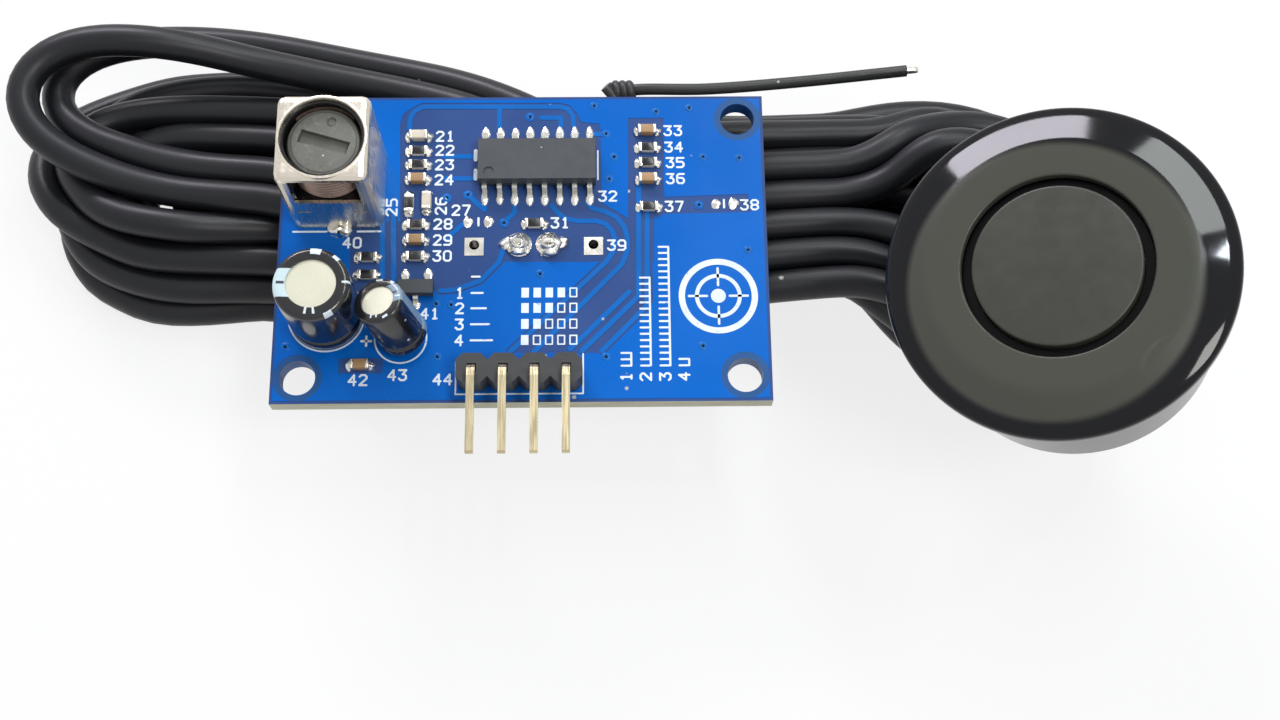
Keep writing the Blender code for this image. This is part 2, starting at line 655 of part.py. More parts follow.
def tuning_cap():
    """The ferrite cap that turns in the holder, with ridges round it, a slot and a pressed dot."""
    radius = CAP_D / 2
    inside = radius - CAP_WALL
    ceiling = -CAP_TOP_T
    lead = CAP_H * 0.8
    step = lead / CAP_THREADS
    start = -0.25 * MM
    outer = [(0, 0), (radius - 0.35 * MM, 0), (radius - CAP_THREAD_DEPTH, start)]
    for i in range(CAP_THREADS):
        outer.append((radius, start - (i + 0.5) * step))
        outer.append((radius - CAP_THREAD_DEPTH, start - (i + 1) * step))
    outer += [(radius - 0.4 * MM, -CAP_H), (inside, -CAP_H), (inside, ceiling), (0, ceiling)]
    cap = turned("transformer_tuning_cap", outer, "ferrite", 28)
    cap.location = on_board(XFMR_X, XFMR_Y, XFMR_H - CAP_SINK)
    cuts = bmesh.new()
    turn = Matrix.Rotation(math.radians(CAP_SLOT_TURN), 4, "Z")
    prism(cuts, rectangle(CAP_SLOT_L, CAP_SLOT_W), -CAP_SLOT_T, CAP_SLOT_T, turn)
    add_cylinder(cuts, CAP_DOT_D, -0.2 * MM, 0.2 * MM, 0.55 * MM, 1.75 * MM, 12)
    cuts = from_bmesh(cuts, "cap_slot", "ferrite")
    cuts.location = cap.location
    combine(cap, cuts, "DIFFERENCE")


def electrolytic(name, spec, lean=0.0, lean_to=0.0):
    """A radial capacitor: a sealed can with two leads, and the printed sleeve shrunk over it."""
    x, y, diameter, height, disc, pitch = spec
    outer = diameter / 2
    inner = outer - SLEEVE_T
    can_r = inner - SEAT
    top = height - SLEEVE_T - SEAT
    low = SLEEVE_T + SEAT
    soft = 0.35 * MM
    dent = 0.16 * diameter
    groove = 0.05 * diameter
    can = [(0, top), (can_r - soft, top), (can_r, top - soft), (can_r, low + dent + 2 * groove),
           (can_r - groove, low + dent + groove), (can_r, low + dent), (can_r, low + soft),
           (can_r - soft, low), (0, low)]
    lip = disc / 2
    hem = outer - soft - 0.2 * MM
    wrap = [(lip, height), (outer - soft, height), (outer, height - soft),
            (outer, SLEEVE_T + dent + 2 * groove), (outer - groove, SLEEVE_T + dent + groove),
            (outer, SLEEVE_T + dent), (outer, soft), (outer - soft, 0), (hem, 0), (hem, SLEEVE_T),
            (inner - soft, SLEEVE_T), (inner, soft + SLEEVE_T), (inner, SLEEVE_T + dent),
            (inner - groove, SLEEVE_T + dent + groove), (inner, SLEEVE_T + dent + 2 * groove),
            (inner, height - SLEEVE_T - soft), (inner - soft, height - SLEEVE_T),
            (lip, height - SLEEVE_T)]
    tilt = Matrix.Rotation(math.radians(lean_to), 4, "Z") @ Matrix.Rotation(math.radians(lean), 4, "Y")
    tilt = tilt @ Matrix.Rotation(math.radians(-lean_to), 4, "Z")
    lift = outer * math.sin(math.radians(lean)) + SEAT
    place = Matrix.Translation(on_board(x, y, lift)) @ tilt
    body = turned(name, can, "aluminium", 22)
    body.matrix_world = place
    sleeve = turned(name + "_sleeve", wrap, "sleeve", 22, ring=True)
    sleeve.matrix_world = place
    leads = bmesh.new()
    for side in (-1, 1):
        inside = tilt.to_3x3() @ Vector((side * pitch / 2, 0, low + BITE)) + Vector((0, 0, lift))
        start = tilt.to_3x3() @ Vector((side * pitch / 2, 0, 0)) + Vector((0, 0, lift))
        end = Vector((side * pitch / 2, 0, 0))
        foot = Vector((side * pitch / 2, 0, -BOARD_T - TAIL))
        swept(leads, [inside, start, end + Vector((0, 0, -SEAT)), foot], ELECTRO_LEAD_D / 2, 8)
    leads = from_bmesh(leads, name + "_leads", "tin")
    leads.location = on_board(x, y)
    combine(body, leads, "UNION")


def swept(mesh_data, line, radius, sides):
    """Add a round rod to a bmesh, with its sections kept level at every point of a line."""
    rings = []
    for centre in line:
        ring = [centre + Vector((radius * math.cos(a), radius * math.sin(a), 0))
                for a in [2 * math.pi * i / sides for i in range(sides)]]
        rings.append([mesh_data.verts.new(p) for p in ring])
    mesh_data.faces.new(rings[0])
    mesh_data.faces.new(rings[-1][::-1])
    for upper, lower in zip(rings, rings[1:]):
        for i in range(sides):
            j = (i + 1) % sides
            mesh_data.faces.new((upper[i], lower[i], lower[j], upper[j]))


def gull_wing(span, root, level):
    """The side outline of a bent lead, from its toe to its root in a chip's side."""
    half = LEAD_T / 2
    knee = root + (span / 2 - root) * 0.32
    return [(span / 2, SEAT), (span / 2, SEAT + LEAD_T), (knee + half, SEAT + LEAD_T),
            (knee + half, level + half), (root - BITE, level + half), (root - BITE, level - half),
            (knee - half, level - half), (knee - half, SEAT)]


def chip(name, x, y, size, stand, span, leads, lead_w, dimple=0.0):
    """A moulded chip standing on gull-wing leads given by their place along it and their side."""
    length, width, height = size
    low = stand + SEAT
    body_h = height - low
    draft = 0.1 * MM
    middle = low + body_h * 0.45
    body = bmesh.new()
    half = width / 2
    section = [(half - draft, low), (half, middle), (half - draft, height), (-half + draft, height),
               (-half, middle), (-half + draft, low)]
    prism(body, section, -length / 2, length / 2, Matrix.Rotation(math.pi / 2, 4, "X")
          @ Matrix.Rotation(math.pi / 2, 4, "Y"))
    body = from_bmesh(body, name, "chip_resin")
    body.location = on_board(x, y)
    legs = bmesh.new()
    side_view = gull_wing(span, half, middle)
    for along, side in leads:
        place = Matrix.Translation((along, 0, 0)) @ Matrix.Rotation(math.radians(90 * side), 4, "Z")
        place = place @ Matrix.Rotation(math.pi / 2, 4, "X")
        prism(legs, side_view, -lead_w / 2, lead_w / 2, place)
    legs = from_bmesh(legs, name + "_leads", "tin")
    legs.location = body.location
    combine(body, legs, "UNION")
    if dimple:
        mark = bmesh.new()
        add_cylinder(mark, dimple, height - 0.1 * MM, height + 0.1 * MM, -length / 2 + 0.9 * MM,
                     -half + 0.75 * MM, 16)
        mark = from_bmesh(mark, name + "_dimple", "chip_resin")
        mark.location = body.location
        combine(body, mark, "DIFFERENCE")


def chips():
    """The controller chip and the transistor."""
    pins = [((i - 3.5) * CHIP_PITCH, side) for side in (-1, 1) for i in range(8)]
    chip("controller_chip", CHIP_X, CHIP_Y, (CHIP_L, CHIP_W, CHIP_H + CHIP_STAND), CHIP_STAND,
         CHIP_SPAN, pins, CHIP_LEAD_W, 0.9 * MM)
    pins = [(-TRANSISTOR_PITCH, 1), (TRANSISTOR_PITCH, 1), (0.0, -1)]
    chip("transistor", TRANSISTOR_X, TRANSISTOR_Y, (TRANSISTOR_L, TRANSISTOR_W, TRANSISTOR_H),
         0.08 * MM, TRANSISTOR_SPAN, pins, 0.42 * MM)


def chip_component(name, x, y, turn, size, finish):
    """A chip resistor or ceramic capacitor: a block whose plated ends stand slightly proud."""
    length, width, height = size
    end = length / 2
    inner = end - CHIP_END
    top = height + 2 * CHIP_END_PROUD
    points = [(-end, 0), (-inner, 0), (-inner, CHIP_END_PROUD), (inner, CHIP_END_PROUD), (inner, 0),
              (end, 0), (end, top), (inner, top), (inner, top - CHIP_END_PROUD),
              (-inner, top - CHIP_END_PROUD), (-inner, top), (-end, top)]
    block = bmesh.new()
    prism(block, points, -width / 2, width / 2, Matrix.Rotation(math.pi / 2, 4, "X"))
    block = from_bmesh(block, name, finish)
    block.location = on_board(x * MM, y * MM, SEAT)
    block.rotation_euler = (0, 0, turn * math.pi / 2)


def chip_components():
    """All chip resistors and ceramic capacitors."""
    for name, x, y, turn in RESISTORS:
        chip_component(name, x, y, turn, CHIP_R_SIZE, "resistor_body")
    for name, x, y, turn in CERAMICS:
        chip_component(name, x, y, turn, CHIP_C_SIZE, "ceramic")


def probe_place():
    """The probe's face centre and slant, with its rear edge lying on the hank."""
    lean = Matrix.Rotation(math.radians(-PROBE_LEAN), 4, "Y")
    slant = lean @ Matrix.Rotation(math.radians(PROBE_NOD), 4, "X")
    normal = slant.to_3x3() @ Vector((0, 0, 1))
    level = math.hypot(normal.x, normal.y)
    edge = BARREL_CHAMFER + (PROBE_L - BARREL_CHAMFER) * normal.z
    drop = edge + (BARREL_D / 2 - BARREL_CHAMFER) * level
    return Matrix.Translation((PROBE_X, PROBE_Y, HANK_H + REST_GAP + drop)) @ slant


def probe():
    """The probe: flanged housing, aluminium transducer can in its seal, piezo disc and backing."""
    place = probe_place()
    face = FACE_EDGE_D / 2
    flange = FLANGE_D / 2
    barrel = BARREL_D / 2
    hole = CAN_D / 2 + SEAL_W
    bore = barrel - PROBE_WALL
    crown = CROWN_FROM_D / 2
    soft = 0.3 * MM
    housing = [(hole, 0), (crown, 0)]
    housing += [(crown + (face - crown) * t, CROWN * 0.35 * math.sin(math.pi * t)) for t in (0.3, 0.65)]
    housing += [(face, 0), (flange, -0.32 * MM), (flange, -FLANGE_T + soft), (flange - soft, -FLANGE_T),
                (barrel, -FLANGE_T)]
    housing += arc(barrel - BARREL_CHAMFER, -PROBE_L + BARREL_CHAMFER, BARREL_CHAMFER, 0, -90, 3)
    housing += [(bore, -PROBE_L), (bore, -FACE_LIP_T), (hole, -FACE_LIP_T)]
    shell = turned("probe_housing", housing, "probe_shell", 44, ring=True)
    shell.matrix_world = place

    can_r = CAN_D / 2
    rim = can_r + CAN_RIM_OUT
    rim_top = -FACE_LIP_T - SEAL_T
    rim_low = rim_top - CAN_RIM_T
    inner = can_r - CAN_WALL
    can = [(0, 0), (can_r - 0.15 * MM, 0), (can_r, -0.15 * MM), (can_r, rim_top), (rim, rim_top),
           (rim, rim_low), (can_r, rim_low), (can_r, -CAN_L), (inner, -CAN_L), (inner, -CAN_WALL),
           (0, -CAN_WALL)]
    turned("transducer_can", can, "aluminium", 28).matrix_world = place

    seal_in = can_r + FIT
    seal_out = hole - FIT
    wide = rim + SEAL_OUT
    deep = -FACE_LIP_T - FIT
    low = rim_low - FIT - SEAL_BACK_T
    seal = [(seal_in, -SEAL_SINK), (seal_out, -SEAL_SINK), (seal_out, deep), (wide, deep), (wide, low),
            (seal_in, low), (seal_in, rim_low - FIT), (rim + FIT, rim_low - FIT),
            (rim + FIT, rim_top + FIT), (seal_in, rim_top + FIT)]
    turned("sealing_ring", seal, "seal_rubber", 28, ring=True).matrix_world = place

    disc_r = PIEZO_D / 2
    top = -CAN_WALL - SEAT
    disc = [(0, top), (disc_r, top), (disc_r, top - PIEZO_T), (0, top - PIEZO_T)]
    turned("piezo_disc", disc, "piezo", 24).matrix_world = place
    pad_r = inner - FIT
    top = -CAN_WALL - PIEZO_T - 2 * SEAT
    pad = [(0, top), (pad_r, top), (pad_r, top - PAD_T), (0, top - PAD_T)]
    turned("damping_pad", pad, "foam", 24).matrix_world = place

    step_low = low - FIT
    gland = GLAND_D / 2
    back = -PROBE_L + POTTING_SINK
    root = back + GLAND_ROOT
    cap_top = -CAN_L - FIT
    fill_r = bore - FIT
    lip = -FACE_LIP_T - FIT
    fill = [(0, cap_top), (can_r + FIT, cap_top), (can_r + FIT, step_low), (wide + FIT, step_low),
            (wide + FIT, lip), (fill_r, lip), (fill_r, back), (gland + FIT, back),
            (gland + FIT, root), (0, root)]
    turned("potting_fill", fill, "potting", 32).matrix_world = place
    hole_r = CABLE_D / 2 + FIT
    out = back - POTTING_SINK - GLAND_L
    end = hole_r + 0.75 * MM
    ring = [(hole_r, root - FIT), (gland, root - FIT), (gland, -PROBE_L - 1.2 * MM),
            (gland - 0.5 * MM, -PROBE_L - 1.6 * MM), (end, out + 0.3 * MM), (end - 0.2 * MM, out),
            (hole_r, out)]
    turned("cable_gland", ring, "seal_rubber", 24, ring=True).matrix_world = place


def hank_loop():
    """The outline of the tied hank, seen from above."""
    x, y, radius = HANK_RIGHT
    knots = arc(x, y, radius, -90, 90, 6)
    knots += [(a * MM, b * MM) for a, b in reversed(HANK_BACK)]
    x, y, radius = HANK_LEFT
    knots += arc(x, y, radius, 72, 270, 8)
    knots += [(a * MM, b * MM) for a, b in reversed(HANK_FRONT)]
    closed = [(a, b, 0) for a, b in knots[-1:] + knots + knots[:2]]
    line = smooth_line(closed, 3)
    return [(p.x, p.y) for p in line[3:-4]]


def hank_side(loop, x, back):
    """Where the hank's back or front side crosses a place along X."""
    near = []
    for (ax, ay), (bx, by) in zip(loop, loop[1:] + loop[:1]):
        if (ax - x) * (bx - x) <= 0 and ax != bx:
            near.append(ay + (by - ay) * (x - ax) / (bx - ax))
    return max(near) if back else min(near)


def cable_hank():
    """The tied hank as one solid, with a pocket for the socket and a channel for the tie."""
    loop = hank_loop()
    hank = as_mesh(outline("cable_hank", [loop], HANK_H, "cable_jacket"))
    finish_again(hank, "cable_jacket")
    hank.location = (0, 0, HANK_H / 2)
    mouth = BOARD_Y + SOCKET_Y - SOCKET_BACK - SOCKET_L
    floor = BOARD_TOP + socket_level() - SOCKET_H / 2 - REST_GAP
    back = BOARD_Y + SOCKET_Y + 1.4 * MM
    low = mouth - PLUG_OUT - 4.0 * MM
    cuts = bmesh.new()
    left = SOCKET_X - SOCKET_W / 2 - 1.2 * MM
    right = SOCKET_X + SOCKET_W / 2 + 0.6 * MM
    middle = ((left + right) / 2, (back + low) / 2, floor + HANK_H / 2)
    add_box(cuts, (right - left, back - low, HANK_H), middle)
    pocket = from_bmesh(cuts, "socket_pocket", "cable_jacket")
    combine(hank, pocket, "DIFFERENCE")
    channel = TIE_D + 2 * REST_GAP
    back = hank_side(loop, TIE_X, True)
    front = hank_side(loop, TIE_X, False)
    far = 2 * channel
    ease = TIE_BEND / 2
    left = front + TIE_SINK
    right = back - TIE_SINK
    points = [(front - far, HANK_H + far), (front - far, -far), (back + far, -far),
              (back + far, HANK_H + far), (right, HANK_H + far), (right, channel + ease),
              (right - ease, channel), (left + ease, channel), (left, channel + ease),
              (left, HANK_H - ease), (left + ease, HANK_H), (left + ease, HANK_H + far)]
    groove = bmesh.new()
    prism(groove, points, -channel / 2, channel / 2, Matrix.Translation((TIE_X, 0, 0))
          @ Matrix.Rotation(math.pi / 2, 4, "Z") @ Matrix.Rotation(math.pi / 2, 4, "X"))
    groove = from_bmesh(groove, "tie_channel", "cable_jacket")
    combine(hank, groove, "DIFFERENCE")


def cable_leads():
    """The two stretches of cable between the hank and what it is joined to."""
    place = probe_place()
    inside = place @ Vector((0, 0, -PROBE_L + GLAND_ROOT))
    out = place @ Vector((0, 0, -PROBE_L - POTTING_SINK - GLAND_L - 0.5 * MM))
    line = smooth_line([inside, out] + [Vector(p) * MM for p in PROBE_LEAD], 4)
    tube("probe_lead", line, CABLE_D, "cable_jacket")
    tube("plug_lead", smooth_line([Vector(p) * MM for p in PLUG_LEAD], 4), CABLE_D, "cable_jacket")


def twist_tie():
    """The wire tied round the hank, with its ends twisted behind the board and a long tail."""
    loop = hank_loop()
    deep = TIE_D / 2 + REST_GAP
    back = hank_side(loop, TIE_X, True) - TIE_SINK + deep
    front = hank_side(loop, TIE_X, False) + TIE_SINK - deep
    top = HANK_H + deep
    low = deep
    bend = TIE_BEND
    knot_y, knot_z = TIE_KNOT
    middle = (back + front) / 2
    ring = [(knot_y - 0.6 * MM, top), (back - bend, top), (middle, top), (front + 2 * bend, top)]
    ring += arc(front + bend, top - bend, bend, 90, 180, 3)
    ring += [(front, HANK_H / 2)]
    ring += arc(front + bend, low + bend, bend, 180, 270, 3)
    ring += [(front + 2 * bend, low), (middle, low), (back - 2 * bend, low)]
    ring += arc(back - bend, low + bend, bend, 270, 360, 3)
    ring += [(back, HANK_H / 2), (back, HANK_H - 2.6 * MM)]
    start = [Vector((TIE_X - 1.4 * MM, knot_y + 0.5 * MM, knot_z + 1.3 * MM))]
    line = start + [Vector((TIE_X, y, z)) for y, z in ring]
    line.append(Vector((TIE_X + 0.3 * MM, knot_y + 0.1 * MM, HANK_H - 0.4 * MM)))
    line += [Vector(p) * MM for p in TIE_TAIL]
    tube("twist_tie", smooth_line(line, 2), TIE_D, "cable_jacket")


def finish_again(obj, finish):
    """Give a mesh that was a curve its finish and its sharp edges."""
    obj.data.materials.clear()
    obj.data.materials.append(bpy.data.materials[finish])
    obj.data.shade_smooth()
    obj.data.set_sharp_from_angle(angle=math.radians(35))


def main():
    """Build every piece."""
    clear_scene()
    finishes()
    circuit_board()
    pin_header()
    cable_socket()
    cable_plug()
    transformer_can()
    transformer_core()
    tuning_cap()
    electrolytic("large_capacitor", BIG_CAP)
    electrolytic("small_capacitor", SMALL_CAP, SMALL_CAP_LEAN, SMALL_CAP_LEAN_TO)
    chips()
    chip_components()
    probe()
    cable_hank()
    cable_leads()
    twist_tie()


main()
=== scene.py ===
"""The looks of the ultrasonic distance sensor: board, tied hank of cable and probe.

Lengths are written in millimetres and multiplied by MM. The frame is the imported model's: the origin on
the surface under the middle of the board's width, the pin header towards -Y, the probe at +X.
"""

import math

import bmesh
import bpy
import numpy as np
from mathutils import Matrix, Vector, noise
from mathutils.geometry import delaunay_2d_cdt


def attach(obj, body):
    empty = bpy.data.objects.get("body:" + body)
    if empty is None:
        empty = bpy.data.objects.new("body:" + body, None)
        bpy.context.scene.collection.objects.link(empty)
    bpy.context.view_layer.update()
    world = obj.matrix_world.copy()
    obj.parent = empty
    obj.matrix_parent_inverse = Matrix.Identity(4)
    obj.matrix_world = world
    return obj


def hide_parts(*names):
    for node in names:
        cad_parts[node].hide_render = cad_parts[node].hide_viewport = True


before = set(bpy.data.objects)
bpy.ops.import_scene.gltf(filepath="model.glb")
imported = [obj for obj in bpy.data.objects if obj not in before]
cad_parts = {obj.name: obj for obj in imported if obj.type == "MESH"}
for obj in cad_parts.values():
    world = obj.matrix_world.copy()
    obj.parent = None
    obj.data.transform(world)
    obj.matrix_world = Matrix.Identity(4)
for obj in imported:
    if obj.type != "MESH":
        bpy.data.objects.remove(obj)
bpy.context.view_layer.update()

MM = 0.001
FIXED = "board_cable_and_probe"
TURNING = "tuning_cap"

# Camera
CAMERA_AT = Vector((7.30, -59.27, 140.44)) * MM
CAMERA_AIM = Vector((0.0177, 0.3073, -0.9514))
CAMERA_RIGHT = Vector((0.99982, -0.01229, 0.01464))
CAMERA_LENS = 45.8

# Cable: its own size, and the route of its two leads. The plug's lead lies about 1.5 mm further in than the
# frame's does, so that nothing shows past the board's front edge
CABLE_D = 2.8
CABLE_R = CABLE_D / 2
PROBE_FACE = Vector((40.3, -15.85, 28.36))
PROBE_AXIS = Vector((-0.345, -0.033, 0.938)).normalized()
PROBE_LENGTH = 15.0
PROBE_LEAD = [(48.4, -15.2, 6.9), (50.9, -14.4, 3.3), (53.4, -11.0, 1.7), (54.2, -5.5, 1.5),
              (52.0, 1.0, 1.5), (48.5, 5.0, 1.5)]
PLUG_LEAD = [(-16.9, -14.6, 1.5), (-15.0, -16.0, 1.6), (-12.4, -16.9, 2.3), (-9.8, -17.4, 3.3)]

# The hank's passes along X, in the order of winding: where the back pass lies and where the front one does.
# Each place is y and layer at the right station, then y and z at the left station.
ROW_RISE = 2.43
STATION_RIGHT = 21.5
STATION_LEFT = -22.0
TURNS = [
    ((8.2, 1), (12.8, 1.4), (-8.6, 3), (-6.2, 6.6)),
    ((1.2, 4), (11.1, 8.8), (-9.6, 4), (-1.7, 8.7)),
    ((-1.6, 4), (5.0, 6.2), (-4.4, 4), (-0.3, 6.2)),
    ((2.2, 3), (7.8, 6.2), (-5.8, 3), (-4.0, 7.9)),
    ((1.2, 2), (5.1, 3.8), (-3.0, 3), (-1.8, 3.8)),
    ((4.0, 2), (7.9, 3.8), (-4.4, 2), (-5.0, 4.0)),
    ((-0.2, 1), (3.4, 1.4), (-3.0, 1), (-3.2, 1.4)),
    ((2.6, 1), (6.2, 1.4), (-5.8, 1), (-6.0, 1.4)),
    ((6.6, 2), (10.9, 3.8), (-7.2, 2), (-8.2, 4.6)),
    ((4.6, 3), (14.2, 6.3), (-7.2, 4), (0.9, 8.7)),
    ((-0.2, 3), (3.0, 4.0), (-1.6, 2), (-0.4, 1.4)),
    ((5.4, 1), (9.0, 1.4), None, (-8.9, 2.2)),
]
# The left bends: the ones that show are followed point by point, the hidden ones are arcs (radius, z)
LEFT_BENDS = [
    [(-25.0, 13.2, 1.4), (-28.4, 13.1, 1.4), (-33.2, 12.5, 1.4), (-37.6, 11.0, 2.0), (-40.8, 9.1, 3.0),
     (-43.2, 5.9, 4.6), (-43.6, 2.6, 5.5), (-42.8, 0.6, 5.6), (-41.1, -1.3, 5.8), (-38.8, -3.0, 6.1),
     (-35.9, -4.8, 6.4), (-33.0, -5.8, 6.6), (-28.6, -6.4, 6.6)],
    [(-25.6, 11.6, 9.6), (-28.9, 12.0, 10.8), (-32.1, 12.0, 12.0), (-35.6, 12.0, 12.4), (-39.1, 11.8, 12.3),
     (-42.6, 10.2, 12.0), (-44.1, 7.9, 11.8), (-43.5, 5.1, 11.6), (-41.6, 2.9, 11.2), (-39.1, 1.4, 10.7),
     (-35.6, 0.1, 10.0), (-30.7, -1.2, 9.0), (-26.7, -1.5, 8.8)],
    (4.6, 6.3),
    [(-27.9, 7.9, 6.2), (-31.5, 7.9, 6.2), (-35.1, 7.5, 6.2), (-38.7, 6.3, 6.4), (-41.1, 4.0, 6.8),
     (-41.3, 1.7, 7.0), (-39.3, -0.6, 7.2), (-37.6, -1.9, 7.4), (-33.8, -3.3, 7.9), (-28.5, -3.9, 7.9)],
    (4.4, 3.9),
    (7.2, 3.9),
    (4.6, 1.4),
    (7.4, 1.4),
    [(-25.4, 12.0, 3.8), (-30.6, 11.0, 3.8), (-35.5, 9.7, 3.8), (-39.2, 7.2, 3.8), (-41.2, 3.5, 3.8),
     (-41.6, -0.3, 3.8), (-39.8, -3.8, 3.6), (-36.4, -6.0, 4.2), (-32.6, -7.3, 4.6), (-29.0, -7.9, 4.6)],
    [(-26.5, 14.8, 6.6), (-30.0, 14.9, 6.9), (-33.5, 14.6, 7.4), (-36.1, 14.1, 8.0), (-39.4, 12.6, 8.6),
     (-41.3, 10.9, 9.0), (-42.1, 8.3, 9.0), (-41.3, 6.0, 9.0), (-39.8, 4.7, 9.0), (-37.6, 3.7, 9.0),
     (-34.9, 2.6, 9.0), (-30.9, 1.6, 8.8), (-26.9, 1.0, 8.7)],
    (3.6, 2.7),
    [(-27.0, 9.6, 1.4), (-32.0, 9.3, 1.4), (-36.5, 7.5, 1.4), (-40.0, 4.4, 1.4), (-41.4, 0.6, 1.4),
     (-41.2, -3.0, 1.4), (-39.4, -5.3, 1.5), (-37.0, -6.9, 1.8), (-33.2, -8.2, 2.0), (-29.5, -8.8, 2.2)],
]
LEFT_CENTRE = (-31.5, 0.6)
# The right bends, all under the probe: radius and z of each
RIGHT_BENDS = [(11.2, 7.5), (8.4, 8.7), (5.6, 8.4), (8.4, 3.9), (5.6, 6.0), (5.6, 3.6), (5.6, 1.4),
               (11.2, 2.6), (11.2, 5.1), (8.4, 6.3), (8.4, 1.4)]
RIGHT_CENTRE = (37.8, -4.8)
# Past the board the passes keep together up to here, and cross a little: each one's shifts at the back and
# in front
STATION_OUT = 29.5
OUT_SHIFTS = [(0.2, 0.4), (-1.0, 0.6), (0.9, 0.2), (0.9, 0.2), (0.3, 0.4), (0.3, 0.3), (0.2, 0.2), (0.2, 0.2),
              (0.4, 0.5), (-0.8, 0.7), (0.6, 0.4), (0.2, 0.2)]
JOIN_IN = [(43.5, 7.8, 1.4), (38.0, 9.0, 1.4), (30.0, 9.2, 1.4)]
JOIN_OUT = [(-20.0, -9.6, 1.7), (-18.5, -12.5, 1.5)]

# Tie: its route round the hank and its tail, and what the cable must stay clear of
TIE_X = 7.9
TIE_SPAN = (-10.8, 4.7)
TIE_HEIGHT = (2.5, 9.15)
TIE_BACK = 6.55
TIE_FRONT = -12.65
TIE_TOP = 11.05
TIE_LOW = 0.65
TIE_BEND = 1.6
TIE_KNOT = (7.2, 11.5)
TIE_TAIL = [(9.6, 7.5, 11.2), (16.0, 7.5, 11.3), (24.0, 8.2, 11.2), (33.6, 9.1, 11.5)]
TIE_R = 0.56

# How the cable finds its place: its points' spacing, the rounds of settling, how it sags, stiffens and pushes
# itself apart in one round, and how its tightest bends are widened after that
CABLE_STEP = 1.6
SETTLE_ROUNDS = 500
CABLE_SAG = 0.004
CABLE_STIFFNESS = 0.06
CABLE_PUSH = 0.25
EASE_ROUNDS = 24
EASE_STEP = 0.16
CABLE_EASE = 3.2
# What its middle keeps clear of: under the board (left, right, back), round the plug's socket (left, right,
# back, top), and behind the probe's barrel and round its gland, measured from the barrel's rear
BOARD_ROOM = (-21.5, 21.5, 6.5)
SOCKET_ROOM = (-5.8, 6.3, -5.1, 5.7)
BARREL_ROOM = 11.85
REAR_ROOM = 1.45
GLAND_ROOM = 4.65
GLAND_REACH = (-7.0, -1.4)

# Board: places on it are measured from the middle of its top face
BOARD_TOP = 13.3
BOARD_Y = -8.0
BOARD_W = 41.0
BOARD_L = 27.5
BOARD_T = 1.6
HOLE_D = 3.0
HOLES = [(18.3, 11.55), (18.3, -11.55), (-18.3, -11.55)]
COPPER_T = 0.03
PRINT_T = 0.05
PIN_PLACES = [-3.93, -1.39, 1.15, 3.69]
HEADER_Y = -11.56
SOCKET_PLACES = [-0.365, 2.135]
SPARE_PLACES = [-4.115, 5.885]
SOCKET_Y = 0.02

# Bare laminate under the mask, as outlines on the board
CLEARED = [
    [(-10.68, 11.24), (-10.45, 12.19), (-9.78, 12.66), (3.47, 12.6), (4.42, 12.31), (4.94, 11.35),
     (6.49, 11.16), (6.62, 3.78), (9.31, 2.03), (9.45, -0.51), (7.01, -1.57), (-1.93, -1.51),
     (-3.4, -3.37), (-5.62, -4.07), (-10.18, -4.04)],
    [(7.01, -0.94), (9.46, 0.39), (10.8, 0.39), (10.81, -5.15), (6.39, -9.58), (-0.99, -9.52)],
    [(8.9, 11.71), (12.0, 11.7), (11.88, 4.3), (19.02, 4.54), (19.22, 2.88), (11.94, 2.74), (11.0, 2.38),
     (10.94, -1.6), (8.77, -1.58)],
    [(-14.58, 2.18), (-9.96, 2.15), (-9.76, -4.22), (-14.31, -4.19)],
    [(-15.0, -9.9), (-11.4, -9.9), (-11.4, -11.2), (-15.0, -11.2)],
]
TRACE_W = 0.42
TRACES = [
    [(-9.85, 10.86), (-9.84, 11.71), (-9.52, 12.42), (-8.76, 12.87), (3.04, 12.81), (3.73, 12.6),
     (4.16, 11.93), (4.21, 10.98)],
    [(-2.17, 12.84), (-2.14, 10.82)],
    [(-6.83, 8.17), (-3.94, 8.15)],
    [(-6.78, 6.12), (-3.9, 6.1)],
    [(2.39, 3.53), (2.9, 2.89), (3.58, 2.34), (4.59, 2.15), (6.19, 2.14), (6.95, 1.86), (7.45, 1.22),
     (7.7, 0.41), (7.52, -0.68), (6.93, -1.57), (2.35, -6.06), (-1.0, -9.43)],
    [(5.44, 3.7), (5.77, 3.33), (6.95, 2.96), (7.8, 2.5), (8.46, 1.67), (8.71, 0.67), (8.74, -0.5),
     (8.26, -1.76), (3.18, -7.12), (0.97, -9.45)],
    [(9.74, 5.52), (9.62, -4.62), (4.91, -9.39)],
    [(10.42, 2.84), (10.3, -5.5), (6.55, -9.4)],
    [(8.82, -4.26), (3.93, -9.21)],
    [(1.41, 11.78), (3.13, 11.77), (3.13, 10.79)],
    [(5.8, 10.21), (7.0, 10.21)],
    [(-10.95, 2.79), (-10.69, -4.83)],
    [(-11.9, 2.79), (-11.6, -4.82)],
    [(-6.86, -4.06), (-5.62, -3.98), (-3.56, -3.2), (-2.01, -1.51), (-1.69, -0.44)],
    [(-6.4, 0.68), (-5.17, 1.85), (-4.67, 2.12)],
    [(-3.29, 4.2), (-3.29, 3.2), (-4.72, 4.59)],
    [(-0.75, 4.2), (-0.75, 3.0), (-1.64, 2.01)],
]
VIAS = [(0.46, 11.85), (7.0, 10.21), (7.67, 8.04), (7.23, 5.99), (5.98, 12.87), (14.18, 12.64),
        (11.32, 12.3), (15.28, 8.0), (18.36, 7.89), (14.83, 3.55), (18.85, -0.57), (14.87, -9.03),
        (6.88, -9.92), (1.42, -2.61), (-5.92, -5.3), (-7.17, -5.2), (-6.96, -9.82), (-19.42, -8.86),
        (-4.72, 4.59), (-6.49, 4.32), (-1.64, 2.01)]

